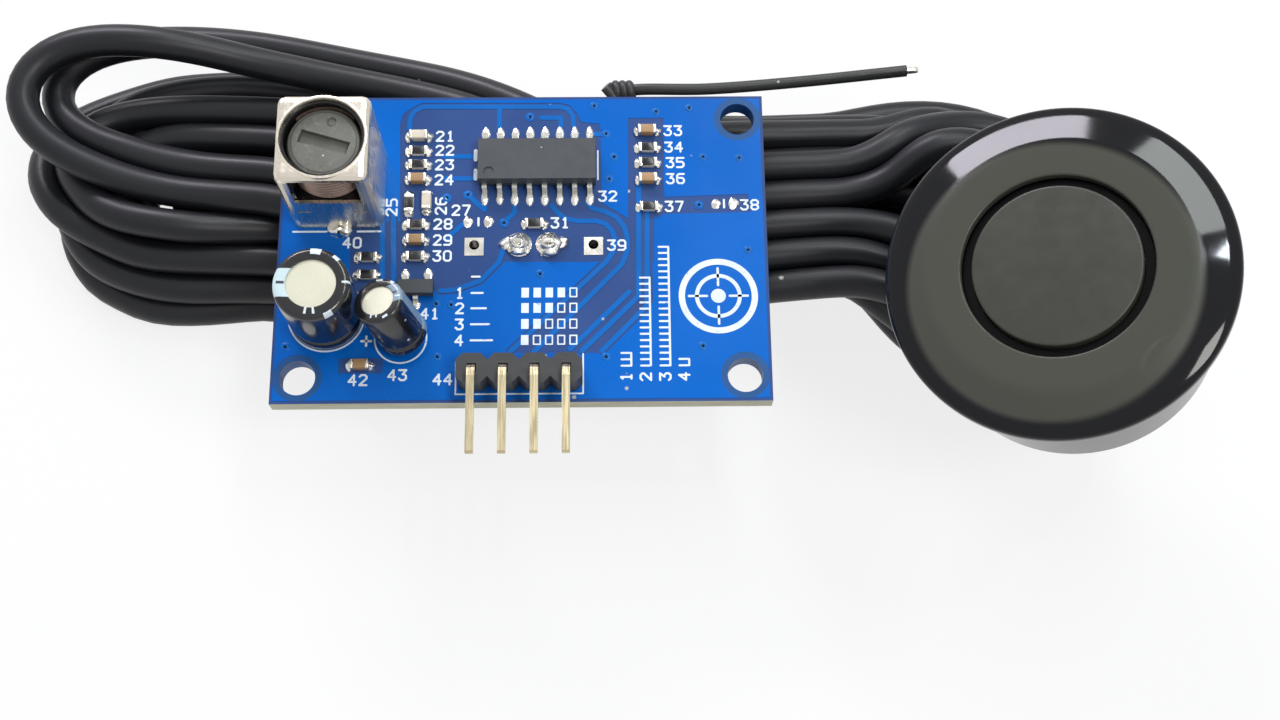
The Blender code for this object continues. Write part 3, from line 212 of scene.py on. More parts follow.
# White print: plain numbers beside the components, as text, left end, base line and quarter turns
LABEL_H = 0.86
LABEL_PITCH = 0.88
PRINT_W = 0.17
LABELS = [
    ("21", -7.5, 9.62, 0), ("22", -7.5, 8.3, 0), ("23", -7.5, 6.95, 0), ("24", -7.5, 5.55, 0),
    ("25", -10.7, 2.75, 1), ("26", -6.55, 2.85, 1), ("27", -6.0, 2.75, 0), ("28", -7.5, 1.5, 0),
    ("29", -7.5, 0.05, 0), ("30", -7.5, -1.38, 0), ("31", 2.35, 1.55, 0), ("32", 6.37, 3.97, 0),
    ("33", 12.0, 10.05, 0), ("34", 12.05, 8.5, 0), ("35", 12.15, 7.05, 0), ("36", 12.15, 5.55, 0),
    ("37", 12.0, 3.0, 0), ("38", 18.38, 3.1, 0), ("39", 7.1, -0.5, 0), ("40", -15.06, -0.15, 0),
    ("41", -8.4, -6.5, 0), ("42", -14.1, -12.2, 0), ("43", -10.9, -11.8, 0), ("44", -7.2, -12.2, 0),
]
PRINT_LINES = [
    ([(-5.4, -10.26), (-5.4, -13.04), (5.0, -13.04), (5.0, -9.65)], 0.13),
    ([(-4.14, 8.67), (-4.14, 7.83)], 0.32),
    ([(-4.12, 6.85), (-4.12, 6.05)], 0.32),
    ([(6.28, 8.61), (6.28, 5.95)], 0.14),
    ([(-13.2, -8.42), (-12.4, -8.42)], 0.2),
    ([(-12.8, -8.02), (-12.8, -8.82)], 0.2),
    ([(-19.3, 1.3), (-16.5, 1.3)], 0.16),
    ([(-13.9, 1.3), (-12.0, 1.3)], 0.16),
    ([(-3.79, 2.45), (-3.79, 1.78)], 0.18),
    ([(16.95, 4.0), (16.95, 3.3)], 0.18),
]
CAP_RINGS = [(-16.15, -6.15, 3.13), (-10.0, -8.2, 2.12)]
TABLE_ROWS = [-3.25, -4.7, -6.05, -7.45, -8.85]
TABLE_LEFT = -5.5
TABLE_RIGHT = -0.2
PIN_RULES = [(8.95, -9.2, "1"), (10.55, -2.5, "2"), (12.15, 0.6, "3"), (13.7, -9.35, "4")]
PIN_RULE_FOOT = -11.95
TARGET = (16.25, -4.66)
# The strokes of the plain digits, on a grid four wide and six high
DIGITS = {
    "0": [[(0, 1), (0, 5), (1, 6), (3, 6), (4, 5), (4, 1), (3, 0), (1, 0), (0, 1)]],
    "1": [[(1, 5), (2, 6), (2, 0)], [(1, 0), (3, 0)]],
    "2": [[(0, 5), (1, 6), (3, 6), (4, 5), (4, 4), (0, 0), (4, 0)]],
    "3": [[(0, 6), (4, 6), (2, 3.5), (3, 3.5), (4, 2.5), (4, 1), (3, 0), (1, 0), (0, 1)]],
    "4": [[(3, 0), (3, 6), (0, 2), (4, 2)]],
    "5": [[(4, 6), (0, 6), (0, 3.5), (3, 3.5), (4, 2.5), (4, 1), (3, 0), (0, 0)]],
    "6": [[(4, 6), (1, 6), (0, 5), (0, 1), (1, 0), (3, 0), (4, 1), (4, 2.5), (3, 3.5), (0, 3.5)]],
    "7": [[(0, 6), (4, 6), (1.5, 0)]],
    "8": [[(1, 3), (0, 2), (0, 1), (1, 0), (3, 0), (4, 1), (4, 2), (3, 3), (1, 3), (0, 4), (0, 5), (1, 6),
           (3, 6), (4, 5), (4, 4), (3, 3)]],
    "9": [[(4, 2.5), (1, 2.5), (0, 3.5), (0, 5), (1, 6), (3, 6), (4, 5), (4, 1), (3, 0), (0, 0)]],
}

# Chips and chip components on the board
CHIP = (1.15, 7.22)
CHIP_PITCH = 1.27
CHIP_HALF_W = 1.95
TRANSISTOR = (-8.83, -3.95)
RESISTORS = {
    "resistor_1": (10.56, 7.42, 0), "resistor_2": (10.56, 8.83, 0), "resistor_3": (-9.0, 1.84, 0),
    "resistor_4": (-9.65, 3.76, 1), "resistor_5": (-9.0, 7.33, 0), "resistor_6": (0.91, 1.87, 0),
    "resistor_8": (-9.0, -1.04, 0), "resistor_9": (-9.0, 8.60, 0), "resistor_10": (-12.95, -1.10, 0),
    "resistor_11": (-12.95, -2.68, 0), "resistor_13": (10.58, 3.36, 0),
}
CERAMICS = {
    "ceramic_capacitor_1": (10.53, 5.86, 0), "ceramic_capacitor_2": (-9.0, 5.95, 0),
    "ceramic_capacitor_3": (10.51, 10.38, 0), "ceramic_capacitor_4": (-9.0, 0.38, 0),
    "ceramic_capacitor_6": (-8.15, 3.85, 1), "ceramic_capacitor_7": (-9.0, 9.95, 0),
    "ceramic_capacitor_9": (-13.2, -10.55, 0),
}
PALE_CERAMICS = ("ceramic_capacitor_7", "ceramic_capacitor_6")
BARE_PADS = [(-4.67, 2.12), (-2.95, 2.12), (16.25, 3.63), (17.75, 3.63)]
PART_L = 1.6
PART_W = 0.8
RESISTOR_H = 0.45
CERAMIC_H = 0.8
END_L = 0.32

# Transformer and electrolytic capacitors
XFMR = (-15.45, 5.33)
XFMR_H = 9.9
XFMR_MOUTH_D = 6.8
CAP_D = 6.1
CAP_H = 3.5
CAP_SINK = 1.0
BIG_CAP = (-16.15, -6.15, 6.1, 7.6, 4.0)
SMALL_CAP = (-9.6, -8.1, 4.1, 5.7, 2.65)
SMALL_LEAN = 19.0
SMALL_LEAN_TO = 145.0
CAP_LEADS = [(-17.4, -6.15), (-14.9, -6.15), (-10.35, -8.1), (-8.85, -8.1)]
XFMR_PINS = [(-2.25, -2.25), (-2.25, 0), (-2.25, 2.25), (2.25, -2.25), (2.25, 2.25)]
# Pale ticks on a sleeve's top edge: the angle, from and to which share of the diameter, and half the width
SLEEVE_TICKS = [(-98.0, 0.33, 0.42, 0.04), (-82.0, 0.33, 0.42, 0.04), (2.0, 0.40, 0.5, 0.035),
                (84.0, 0.4, 0.5, 0.16), (48.0, 0.44, 0.5, 0.1), (-60.0, 0.45, 0.5, 0.12)]
SLEEVE_FILM = 0.12

# Light: the world's, the floor's colour and how far the camera sees it white
WORLD_COLOR = (0.93, 0.95, 1.0, 1.0)
WORLD_STRENGTH = 0.42
FLOOR_COLOR = (0.85, 0.85, 0.85, 1.0)
FLOOR_GLOW = 0.8
# Lamps: name, the two ends of its long side as ways from the probe, its distance, width, power and colour
LAMPS = [
    ("key_light", (0.22, -0.28, 0.93), (0.46, -0.22, 0.86), 0.62, 0.16, 1.25, (1.0, 0.98, 0.94)),
    ("ceiling_strip", (0.27, 0.35, 0.90), (0.08, 0.73, 0.69), 0.6, 0.09, 1.0, (0.93, 1.0, 0.97)),
    ("back_window", (-0.10, 0.82, 0.56), (-0.57, 0.73, 0.37), 0.6, 0.09, 1.9, (0.94, 0.9, 1.0)),
    ("small_window", (0.31, 0.30, 0.90), (0.285, 0.235, 0.93), 0.6, 0.03, 0.35, (0.85, 0.93, 1.0)),
]

# The node groups, built by main before any finish or piece needs them
PARTS_TREE = None
GRAIN = None
DUST = None
STREAKS = None
SCRATCHES = None


def tone(red, green, blue):
    """A colour as a shader wants it, from how it shows on a screen, 0 to 255."""
    return tuple((part / 255) ** 2.2 for part in (red, green, blue)) + (1.0,)


def on_board(x, y, z=0.0):
    """A place in the frame, in millimetres, from one on the board."""
    return Vector((x, y + BOARD_Y, z + BOARD_TOP))


class Nodes:
    """Short ways to add nodes to one tree and to join them."""

    def __init__(self, tree):
        self.tree = tree

    def node(self, kind, **settings):
        """Add a node with its settings."""
        made = self.tree.nodes.new(kind)
        for key, value in settings.items():
            setattr(made, key, value)
        return made

    def feed(self, value, socket):
        """Link an output to a socket, or set the socket to a plain value."""
        if isinstance(value, bpy.types.NodeSocket):
            self.tree.links.new(value, socket)
        else:
            socket.default_value = value

    def math(self, operation, first, second=0.0, third=0.0):
        """One step of arithmetic."""
        step = self.node("ShaderNodeMath", operation=operation)
        for value, socket in zip((first, second, third), step.inputs):
            self.feed(value, socket)
        return step.outputs[0]

    def vector(self, operation, first, second=(0.0, 0.0, 0.0)):
        """One step of arithmetic on vectors."""
        step = self.node("ShaderNodeVectorMath", operation=operation)
        self.feed(first, step.inputs[0])
        self.feed(second, step.inputs[1])
        return step.outputs["Value" if operation in ("LENGTH", "DOT_PRODUCT") else "Vector"]

    def mix(self, share, first, second, blend="MIX"):
        """A mix of two colours."""
        step = self.node("ShaderNodeMix", data_type="RGBA", blend_type=blend)
        self.feed(share, step.inputs[0])
        self.feed(first, step.inputs[6])
        self.feed(second, step.inputs[7])
        return step.outputs[2]

    def ease(self, value, low, high, out_low=0.0, out_high=1.0):
        """A value taken smoothly from one range to another."""
        step = self.node("ShaderNodeMapRange", interpolation_type="SMOOTHSTEP")
        for given, label in ((value, "Value"), (low, "From Min"), (high, "From Max"),
                             (out_low, "To Min"), (out_high, "To Max")):
            self.feed(given, step.inputs[label])
        return step.outputs["Result"]

    def noise(self, place, scale, detail=4.0, roughness=0.5):
        """Cloudy noise."""
        step = self.node("ShaderNodeTexNoise")
        for given, label in ((place, "Vector"), (scale, "Scale"), (detail, "Detail"),
                             (roughness, "Roughness")):
            self.feed(given, step.inputs[label])
        return step.outputs[0]

    def split(self, place):
        """The three parts of a place."""
        step = self.node("ShaderNodeSeparateXYZ")
        self.feed(place, step.inputs[0])
        return step.outputs

    def group(self, tree, **values):
        """Place a node group with its own values."""
        step = self.node("ShaderNodeGroup", node_tree=tree)
        for label, value in values.items():
            self.feed(value, step.inputs[label.replace("_", " ")])
        return step.outputs


def effect(name, inputs, outputs):
    """A shader node group: its tree's helper, its inputs and its output node."""
    tree = bpy.data.node_groups.new(name, "ShaderNodeTree")
    kinds = {"Vector": "NodeSocketVector"}
    for label, value in inputs:
        socket = tree.interface.new_socket(label, in_out="INPUT",
                                           socket_type=kinds.get(label, "NodeSocketFloat"))
        if value is not None:
            socket.default_value = value
    for label in outputs:
        tree.interface.new_socket(label, in_out="OUTPUT", socket_type="NodeSocketFloat")
    nodes = Nodes(tree)
    return nodes, nodes.node("NodeGroupInput").outputs, nodes.node("NodeGroupOutput").inputs


def build_effects():
    """The node groups that the finishes share: grain, dust, drawn streaks and fine scratches."""
    global GRAIN, DUST, STREAKS, SCRATCHES
    nodes, given, out = effect("surface_grain", [("Vector", None), ("Scale", 300.0), ("Low", 0.3),
                                                 ("High", 0.5), ("Shade", 0.05)],
                               ["Roughness", "Tone", "Height"])
    coarse = nodes.noise(given["Vector"], given["Scale"], 5.0)
    wide = nodes.noise(given["Vector"], nodes.math("MULTIPLY", given["Scale"], 0.37), 3.0)
    fine = nodes.noise(given["Vector"], nodes.math("MULTIPLY", given["Scale"], 9.0), 2.0)
    nodes.feed(nodes.ease(coarse, 0.3, 0.7, given["Low"], given["High"]), out["Roughness"])
    darker = nodes.math("SUBTRACT", 1.0, given["Shade"])
    lighter = nodes.math("ADD", 1.0, given["Shade"])
    nodes.feed(nodes.ease(wide, 0.35, 0.65, darker, lighter), out["Tone"])
    nodes.feed(nodes.math("MULTIPLY_ADD", coarse, 0.6, nodes.math("MULTIPLY", fine, 0.4)), out["Height"])
    GRAIN = nodes.tree

    nodes, given, out = effect("dust_specks", [("Vector", None), ("Scale", 900.0), ("Amount", 0.1)],
                               ["Mask"])
    cells = nodes.node("ShaderNodeTexVoronoi")
    nodes.feed(given["Vector"], cells.inputs["Vector"])
    nodes.feed(given["Scale"], cells.inputs["Scale"])
    chance = nodes.split(cells.outputs["Color"])[0]
    chosen = nodes.math("GREATER_THAN", chance, nodes.math("SUBTRACT", 1.0, given["Amount"]))
    speck = nodes.ease(cells.outputs["Distance"], 0.08, 0.16, 1.0, 0.0)
    nodes.feed(nodes.math("MULTIPLY", chosen, speck), out["Mask"])
    DUST = nodes.tree

    nodes, given, out = effect("drawn_streaks", [("Vector", None), ("Scale", 2000.0), ("Low", 0.2),
                                                 ("High", 0.4)], ["Roughness", "Height"])
    lines = nodes.noise(given["Vector"], given["Scale"], 3.0, 0.6)
    nodes.feed(nodes.ease(lines, 0.3, 0.7, given["Low"], given["High"]), out["Roughness"])
    nodes.feed(lines, out["Height"])
    STREAKS = nodes.tree

    nodes, given, out = effect("fine_scratches", [("Vector", None), ("Scale", 60.0), ("Amount", 0.5)],
                               ["Mask"])
    bends = nodes.noise(given["Vector"], given["Scale"], 1.0)
    off = nodes.math("ABSOLUTE", nodes.math("SUBTRACT", bends, 0.5))
    hair = nodes.ease(off, 0.0, 0.004, 1.0, 0.0)
    patch = nodes.noise(given["Vector"], nodes.math("MULTIPLY", given["Scale"], 2.6), 2.0)
    shown = nodes.ease(patch, nodes.math("SUBTRACT", 1.0, given["Amount"]), 0.95)
    nodes.feed(nodes.math("MULTIPLY", hair, shown), out["Mask"])
    SCRATCHES = nodes.tree


class Finish(Nodes):
    """One material while it is made. Its colour, roughness and relief start from the shared grain."""

    def __init__(self, name, color, low, high, metallic=0.0, specular=0.5, coat=0.0, scale=300.0,
                 shade=0.06, relief=0.01):
        self.made = bpy.data.materials.new(name)
        self.made.use_nodes = True
        super().__init__(self.made.node_tree)
        self.shader = self.tree.nodes["Principled BSDF"]
        self.shader.inputs["Specular IOR Level"].default_value = specular
        if coat:
            self.shader.inputs["Coat Weight"].default_value = coat
            self.shader.inputs["Coat Roughness"].default_value = 0.04
        self.place = self.node("ShaderNodeTexCoord").outputs["Object"]
        grain = self.group(GRAIN, Vector=self.place, Scale=scale, Low=low, High=high, Shade=shade)
        self.color = self.mix(1.0, color, grain["Tone"], "MULTIPLY")
        self.rough = grain["Roughness"]
        self.height = grain["Height"]
        self.metal = metallic
        self.relief = relief

    def from_place(self, centre):
        """Where a point of the piece is from a centre given in millimetres."""
        return self.vector("SUBTRACT", self.place, tuple(Vector(centre) * MM))

    def over(self, mask, color=None, rough=None, metal=None):
        """Another finish where a mask is one."""
        if color is not None:
            self.color = self.mix(mask, self.color, color)
        if rough is not None:
            base = self.math("MULTIPLY", self.rough, self.math("SUBTRACT", 1.0, mask))
            self.rough = self.math("ADD", base, self.math("MULTIPLY", mask, rough))
        if metal is not None:
            base = self.math("MULTIPLY", self.math("SUBTRACT", 1.0, mask), self.metal)
            self.metal = self.math("ADD", base, self.math("MULTIPLY", mask, metal))
        return self

    def dust(self, amount, scale=900.0, color=(0.5, 0.5, 0.48, 1.0)):
        """Specks of dust."""
        specks = self.group(DUST, Vector=self.place, Scale=scale, Amount=amount)
        return self.over(specks["Mask"], color, 0.8)

    def done(self):
        """Join what was made to the shader."""
        self.feed(self.color, self.shader.inputs["Base Color"])
        self.feed(self.rough, self.shader.inputs["Roughness"])
        self.feed(self.metal, self.shader.inputs["Metallic"])
        bump = self.node("ShaderNodeBump")
        bump.inputs["Distance"].default_value = self.relief * MM
        self.feed(self.height, bump.inputs["Height"])
        self.feed(bump.outputs[0], self.shader.inputs["Normal"])
        return self.made


def finishes():
    """Every finish, by name."""
    made = {}

    board = Finish("mask_on_laminate", tone(52, 78, 132), 0.24, 0.36, specular=0.16, scale=160, shade=0.1,
                   relief=0.02)
    sides = board.node("ShaderNodeNewGeometry").outputs["Normal"]
    level = board.math("ABSOLUTE", board.split(sides)[2])
    layers = board.vector("MULTIPLY", board.place, (400.0, 400.0, 9000.0))
    cut = board.mix(board.noise(layers, 1.0, 3.0), tone(150, 150, 128), tone(226, 222, 200))
    edge = board.ease(level, 0.4, 0.6, 1.0, 0.0)
    made["laminate"] = board.over(edge, cut, 0.8).dust(0.03).done()

    pour = Finish("mask_on_copper", tone(4, 98, 190), 0.2, 0.32, specular=0.15, scale=120, shade=0.07,
                  relief=0.015)
    made["copper"] = pour.dust(0.03, 700).done()
    trace = Finish("mask_on_traces", tone(18, 100, 182), 0.2, 0.32, specular=0.18, scale=200, shade=0.08,
                   relief=0.015)
    made["trace"] = trace.dust(0.02).done()
    # Mask over the bare ring round the mounting holes; on the walls inside the holes its dark blue-grey is
    # painted shade of their depth
    ring = Finish("mask_round_holes", tone(46, 88, 142), 0.3, 0.45, specular=0.16, scale=400, relief=0.02)
    made["hole_ring"] = ring.done()
    ink = Finish("white_print", tone(226, 236, 244), 0.5, 0.7, specular=0.3, scale=1500, shade=0.05,
                 relief=0.02)
    thin = ink.ease(ink.noise(ink.place, 2600.0, 3.0), 0.62, 0.78)
    made["print"] = ink.over(thin, tone(120, 165, 215)).done()

    solder = Finish("solder", tone(226, 225, 220), 0.1, 0.3, metallic=1.0, scale=700, shade=0.12,
                    relief=0.09)
    made["solder"] = solder.done()
    tin = Finish("tin_plating", tone(226, 223, 214), 0.16, 0.34, metallic=1.0, scale=500, shade=0.06,
                 relief=0.03)
    made["tin"] = tin.done()

    can = Finish("drawn_tinplate", tone(224, 216, 202), 0.22, 0.36, metallic=1.0, scale=170, shade=0.05,
                 relief=0.012)
    drawn = can.vector("MULTIPLY", can.place, (1.0, 1.0, 0.06))
    lines = can.group(STREAKS, Vector=drawn, Scale=2400.0, Low=0.18, High=0.42)
    can.rough = can.math("MULTIPLY", can.math("ADD", can.rough, lines["Roughness"]), 0.5)
    stains = can.ease(can.noise(can.place, 240.0, 3.0), 0.55, 0.8, 0.0, 0.3)
    made["tinplate"] = can.over(stains, tone(186, 178, 172), 0.4).dust(0.03).done()

    gold = Finish("pale_gold_plating", tone(206, 192, 158), 0.2, 0.34, metallic=1.0, scale=500, shade=0.06,
                  relief=0.01)
    along = gold.vector("MULTIPLY", gold.place, (1.0, 0.05, 0.05))
    lines = gold.group(STREAKS, Vector=along, Scale=5200.0, Low=0.16, High=0.4)
    gold.rough = lines["Roughness"]
    gold.height = lines["Height"]
    made["gold"] = gold.done()

    header = Finish("header_plastic", tone(50, 52, 54), 0.42, 0.6, scale=1200, shade=0.08, relief=0.03)
    made["header"] = header.dust(0.08).done()
    thread = Finish("threaded_holder", tone(158, 134, 122), 0.2, 0.34, metallic=0.35, scale=420, shade=0.14,
                    relief=0.03)
    made["thread"] = thread.done()
    holder = Finish("holder_plastic", tone(24, 24, 26), 0.12, 0.24, scale=500, relief=0.01)
    made["holder"] = holder.dust(0.05).done()

    ferrite = Finish("ferrite", tone(104, 104, 98), 0.5, 0.7, scale=420, shade=0.16, relief=0.05)
    pale = ferrite.ease(ferrite.noise(ferrite.place, 1500.0, 6.0, 0.7), 0.52, 0.7, 0.0, 0.55)
    dark = ferrite.ease(ferrite.noise(ferrite.place, 3600.0, 4.0, 0.7), 0.6, 0.75, 0.0, 0.6)
    ferrite.over(pale, tone(138, 138, 128)).over(dark, tone(58, 58, 56))
    # A thin dark ring where the cap's flat top starts to round off: painted shade of a groove that the shape
    # does not have
    out = ferrite.vector("LENGTH", ferrite.vector("MULTIPLY", ferrite.from_place(on_board(*XFMR)),
                                                  (1.0, 1.0, 0.0)))
    groove = ferrite.math("ABSOLUTE", ferrite.math("SUBTRACT", out, 2.62 * MM))
    ferrite.over(ferrite.ease(groove, 0.02 * MM, 0.07 * MM, 0.75, 0.0), tone(60, 60, 56))
    made["ferrite"] = ferrite.dust(0.1, 1300).done()

    disc = Finish("etched_aluminium", tone(200, 199, 180), 0.42, 0.55, metallic=0.6, scale=300,
                  shade=0.03, relief=0.02)
    made["aluminium"] = disc.done()

    # The small sleeve's stripe is a darker blue-grey than the big one's pale print: painted shade down its
    # side
    for name, where, lean, side, stripe in (("big", BIG_CAP, 0.0, 178.0, tone(200, 222, 226)),
                                            ("small", SMALL_CAP, SMALL_LEAN, 14.0, tone(128, 150, 168))):
        made["sleeve_" + name] = sleeve(name, where, lean, side, stripe)

    for name, where, half in (("chip", CHIP, CHIP_HALF_W), ("transistor", TRANSISTOR, 0.7)):
        resin = Finish(name + "_resin_and_leads", tone(66, 69, 73), 0.42, 0.6, specular=0.4, scale=900,
                       shade=0.05, relief=0.03)
        y = resin.math("ABSOLUTE", resin.split(resin.from_place(on_board(*where)))[1])
        leads = resin.math("GREATER_THAN", y, (half + 0.005) * MM)
        bright = resin.mix(resin.noise(resin.place, 1800.0, 3.0), tone(168, 168, 164), tone(232, 230, 222))
        made[name] = resin.dust(0.06, 1300).over(leads, bright, 0.22, 1.0).done()

    glass = Finish("resistor_glass", tone(26, 26, 30), 0.18, 0.32, scale=900, relief=0.02)
    made["resistor"] = glass.dust(0.06, 1800).done()
    alumina = Finish("alumina", tone(206, 206, 200), 0.5, 0.7, scale=1400, relief=0.03)
    made["alumina"] = alumina.done()
    for name, color in (("ceramic", (164, 130, 92)), ("ceramic_pale", (206, 196, 178))):
        tan = Finish(name, tone(*color), 0.4, 0.6, scale=1100, shade=0.1, relief=0.03)
        made[name] = tan.dust(0.06, 1800).done()

    nylon = Finish("nylon", tone(232, 228, 212), 0.35, 0.5, scale=600, shade=0.03, relief=0.02)
    nylon.shader.inputs["Subsurface Weight"].default_value = 0.15
    nylon.shader.inputs["Subsurface Radius"].default_value = (0.001, 0.001, 0.0008)
    made["nylon"] = nylon.done()
    made["wire_black"] = Finish("black_wire", tone(30, 30, 31), 0.35, 0.5, scale=900, relief=0.02).done()
    made["wire_red"] = Finish("red_wire", tone(176, 26, 20), 0.35, 0.5, scale=900, relief=0.02).done()

    winding = Finish("enamelled_copper", tone(196, 112, 66), 0.2, 0.34, metallic=1.0, scale=600)
    turns = winding.node("ShaderNodeTexWave", bands_direction="Z")
    winding.feed(winding.place, turns.inputs["Vector"])
    turns.inputs["Scale"].default_value = 2600.0
    winding.height = turns.outputs[1]
    winding.relief = 0.06
    made["copper_wire"] = winding.done()

    made.update(probe_finishes())
    jacket = Finish("cable_jacket", tone(28, 29, 33), 0.34, 0.46, specular=0.36, scale=160, shade=0.12,
                    relief=0.012)
    reach = jacket.node("ShaderNodeUVMap").outputs[0]
    drawn = jacket.vector("MULTIPLY", reach, (30.0, 60.0, 1.0))
    lines = jacket.group(STREAKS, Vector=drawn, Scale=1.0, Low=0.3, High=0.52)
    jacket.rough = jacket.math("MULTIPLY", jacket.math("ADD", jacket.rough, lines["Roughness"]), 0.5)
    made["jacket"] = jacket.dust(0.05, 500).done()
    tie = Finish("tie_vinyl", tone(46, 47, 48), 0.36, 0.5, scale=500, shade=0.08, relief=0.03)
    made["tie"] = tie.dust(0.05).done()
    return made


def sleeve(name, where, lean, side, stripe):
    """A capacitor's shrunk sleeve: glossy black with a pale stripe up one side and ticks on its top edge."""
    wrap = Finish("sleeve_" + name, tone(30, 30, 33), 0.14, 0.26, coat=0.3, scale=500, shade=0.1,
                  relief=0.025)
    x, y, diameter = where[:3]
    centre = on_board(x, y)
    turned = wrap.node("ShaderNodeMapping", vector_type="POINT")
    turned.inputs["Rotation"].default_value = capacitor_tilt(lean).to_3x3().inverted().to_euler()
    wrap.feed(wrap.from_place(centre), turned.inputs["Vector"])
    parts = wrap.split(turned.outputs[0])
    angle = math.radians(side)
    ahead = wrap.math("ADD", wrap.math("MULTIPLY", parts[0], math.cos(angle)),
                      wrap.math("MULTIPLY", parts[1], math.sin(angle)))
    across = wrap.math("ABSOLUTE", wrap.math("SUBTRACT", wrap.math("MULTIPLY", parts[1], math.cos(angle)),
                                             wrap.math("MULTIPLY", parts[0], math.sin(angle))))
    half = 0.19 * diameter * MM
    on_side = wrap.math("MULTIPLY", wrap.math("GREATER_THAN", ahead, 0.0),
                        wrap.ease(across, half, half + 0.06 * MM, 1.0, 0.0))
    dash = wrap.math("MULTIPLY", wrap.ease(across, 0.1 * MM, 0.13 * MM, 1.0, 0.0),
                     wrap.ease(wrap.math("ABSOLUTE", wrap.math("SUBTRACT", ahead, 0.39 * diameter * MM)),
                               0.05 * diameter * MM, 0.055 * diameter * MM, 1.0, 0.0))
    wrap.over(on_side, stripe, 0.3)
    wrap.over(dash, tone(60, 66, 72))
    around = wrap.math("ARCTAN2", parts[1], parts[0])
    out = wrap.math("SQRT", wrap.math("ADD", wrap.math("MULTIPLY", parts[0], parts[0]),
                                      wrap.math("MULTIPLY", parts[1], parts[1])))
    near_top = wrap.math("GREATER_THAN", parts[2], (where[3] - 0.5) * MM)
    for turn, inner, outer, width in SLEEVE_TICKS:
        gap = wrap.math("ABSOLUTE", wrap.math("SUBTRACT", around, math.radians(turn)))
        radial = wrap.math("MULTIPLY", wrap.math("GREATER_THAN", out, inner * diameter * MM),
                           wrap.math("LESS_THAN", out, outer * diameter * MM))
        tick = wrap.math("MULTIPLY", wrap.math("LESS_THAN", gap, width), radial)
        wrap.over(wrap.math("MULTIPLY", tick, near_top), tone(214, 226, 232), 0.4)
    return wrap.dust(0.04).done()


def probe_finishes():
    """The probe's finishes."""
    made = {}
    shell = Finish("probe_shell", tone(20, 21, 25), 0.06, 0.13, specular=0.27, scale=90, shade=0.1,
                   relief=0.004)
    off = shell.from_place(PROBE_FACE)
    height = shell.vector("DOT_PRODUCT", off, tuple(PROBE_AXIS))
    # Inside an off-centre circle on the face the base turns paler olive and rougher: a painted reflection of
    # the ceiling lamp on the one black plastic
    flat = shell.vector("LENGTH", shell.vector("ADD", off, (0.5 * MM, 1.1 * MM, 0.0)))
    inner = shell.math("MULTIPLY", shell.ease(flat, 10.4 * MM, 11.1 * MM, 1.0, 0.0),
                       shell.ease(height, -0.78 * MM, -0.62 * MM, 0.0, 1.0))
    shell.over(inner, tone(72, 73, 66), 0.3)
    hair = shell.group(SCRATCHES, Vector=shell.place, Scale=55.0, Amount=0.42)
    shell.over(hair["Mask"], tone(104, 104, 100), 0.4)
    made["shell"] = shell.dust(0.035, 420, (0.42, 0.42, 0.4, 1.0)).done()

    # Black paint on the transducer's face, with its base made paler olive grey: a painted reflection of the
    # ceiling lamp
    face = Finish("transducer_paint", tone(62, 62, 56), 0.3, 0.42, specular=0.4, scale=700, shade=0.06,
                  relief=0.012)
    rear = face.vector("DOT_PRODUCT", face.from_place(PROBE_FACE), tuple(PROBE_AXIS))
    face.over(face.math("LESS_THAN", rear, -2.0 * MM), tone(196, 196, 190), 0.4, 1.0)
    made["transducer"] = face.dust(0.03, 420, (0.4, 0.4, 0.38, 1.0)).done()
    made["seal"] = Finish("seal_rubber", tone(9, 10, 14), 0.25, 0.4, specular=0.15, scale=600,
                          relief=0.03).done()
    gland = Finish("gland_rubber", tone(26, 26, 27), 0.4, 0.6, scale=700, relief=0.04)
    made["gland"] = gland.dust(0.1).done()
    potting = Finish("potting_compound", tone(30, 30, 30), 0.16, 0.34, scale=260, shade=0.1, relief=0.12)
    made["potting"] = potting.dust(0.12, 700).done()
    made["piezo"] = Finish("piezo_ceramic", tone(214, 204, 176), 0.4, 0.6, scale=900, relief=0.02).done()
    made["foam"] = Finish("damping_foam", tone(70, 70, 72), 0.85, 0.95, scale=1800, shade=0.2,
                          relief=0.3).done()
    return made


def keep(obj, smooth):
    """File a piece in the scene and smooth its faces between its sharp edges."""
    obj.data.shade_smooth()
    obj.data.set_sharp_from_angle(angle=math.radians(smooth))
    bpy.context.scene.collection.objects.link(obj)
    return obj


def piece(shape, name, finish, body=FIXED, smooth=38.0):
    """A finished piece from a bmesh in metres, riding on a body."""
    bmesh.ops.recalc_face_normals(shape, faces=shape.faces)
    mesh = bpy.data.meshes.new(name)
    shape.to_mesh(mesh)
    shape.free()
    mesh.materials.append(finish)
    obj = keep(bpy.data.objects.new(name, mesh), smooth)
    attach(obj, body)
    return obj


def rounded(points, steps=4):
    """A profile whose corners are rounded where a point gives a radius as its third number."""
    line = []
    for i, point in enumerate(points):
        here = Vector(point[:2])
        if len(point) < 3 or i in (0, len(points) - 1):
            line.append(tuple(here))
            continue
        before = (Vector(points[i - 1][:2]) - here)
        after = (Vector(points[i + 1][:2]) - here)
        reach = min(point[2], before.length * 0.49, after.length * 0.49)
        start = here + before.normalized() * reach
        end = here + after.normalized() * reach
        for k in range(steps + 1):
            t = k / steps
            line.append(tuple(start * (1 - t) ** 2 + here * 2 * t * (1 - t) + end * t ** 2))
    return line


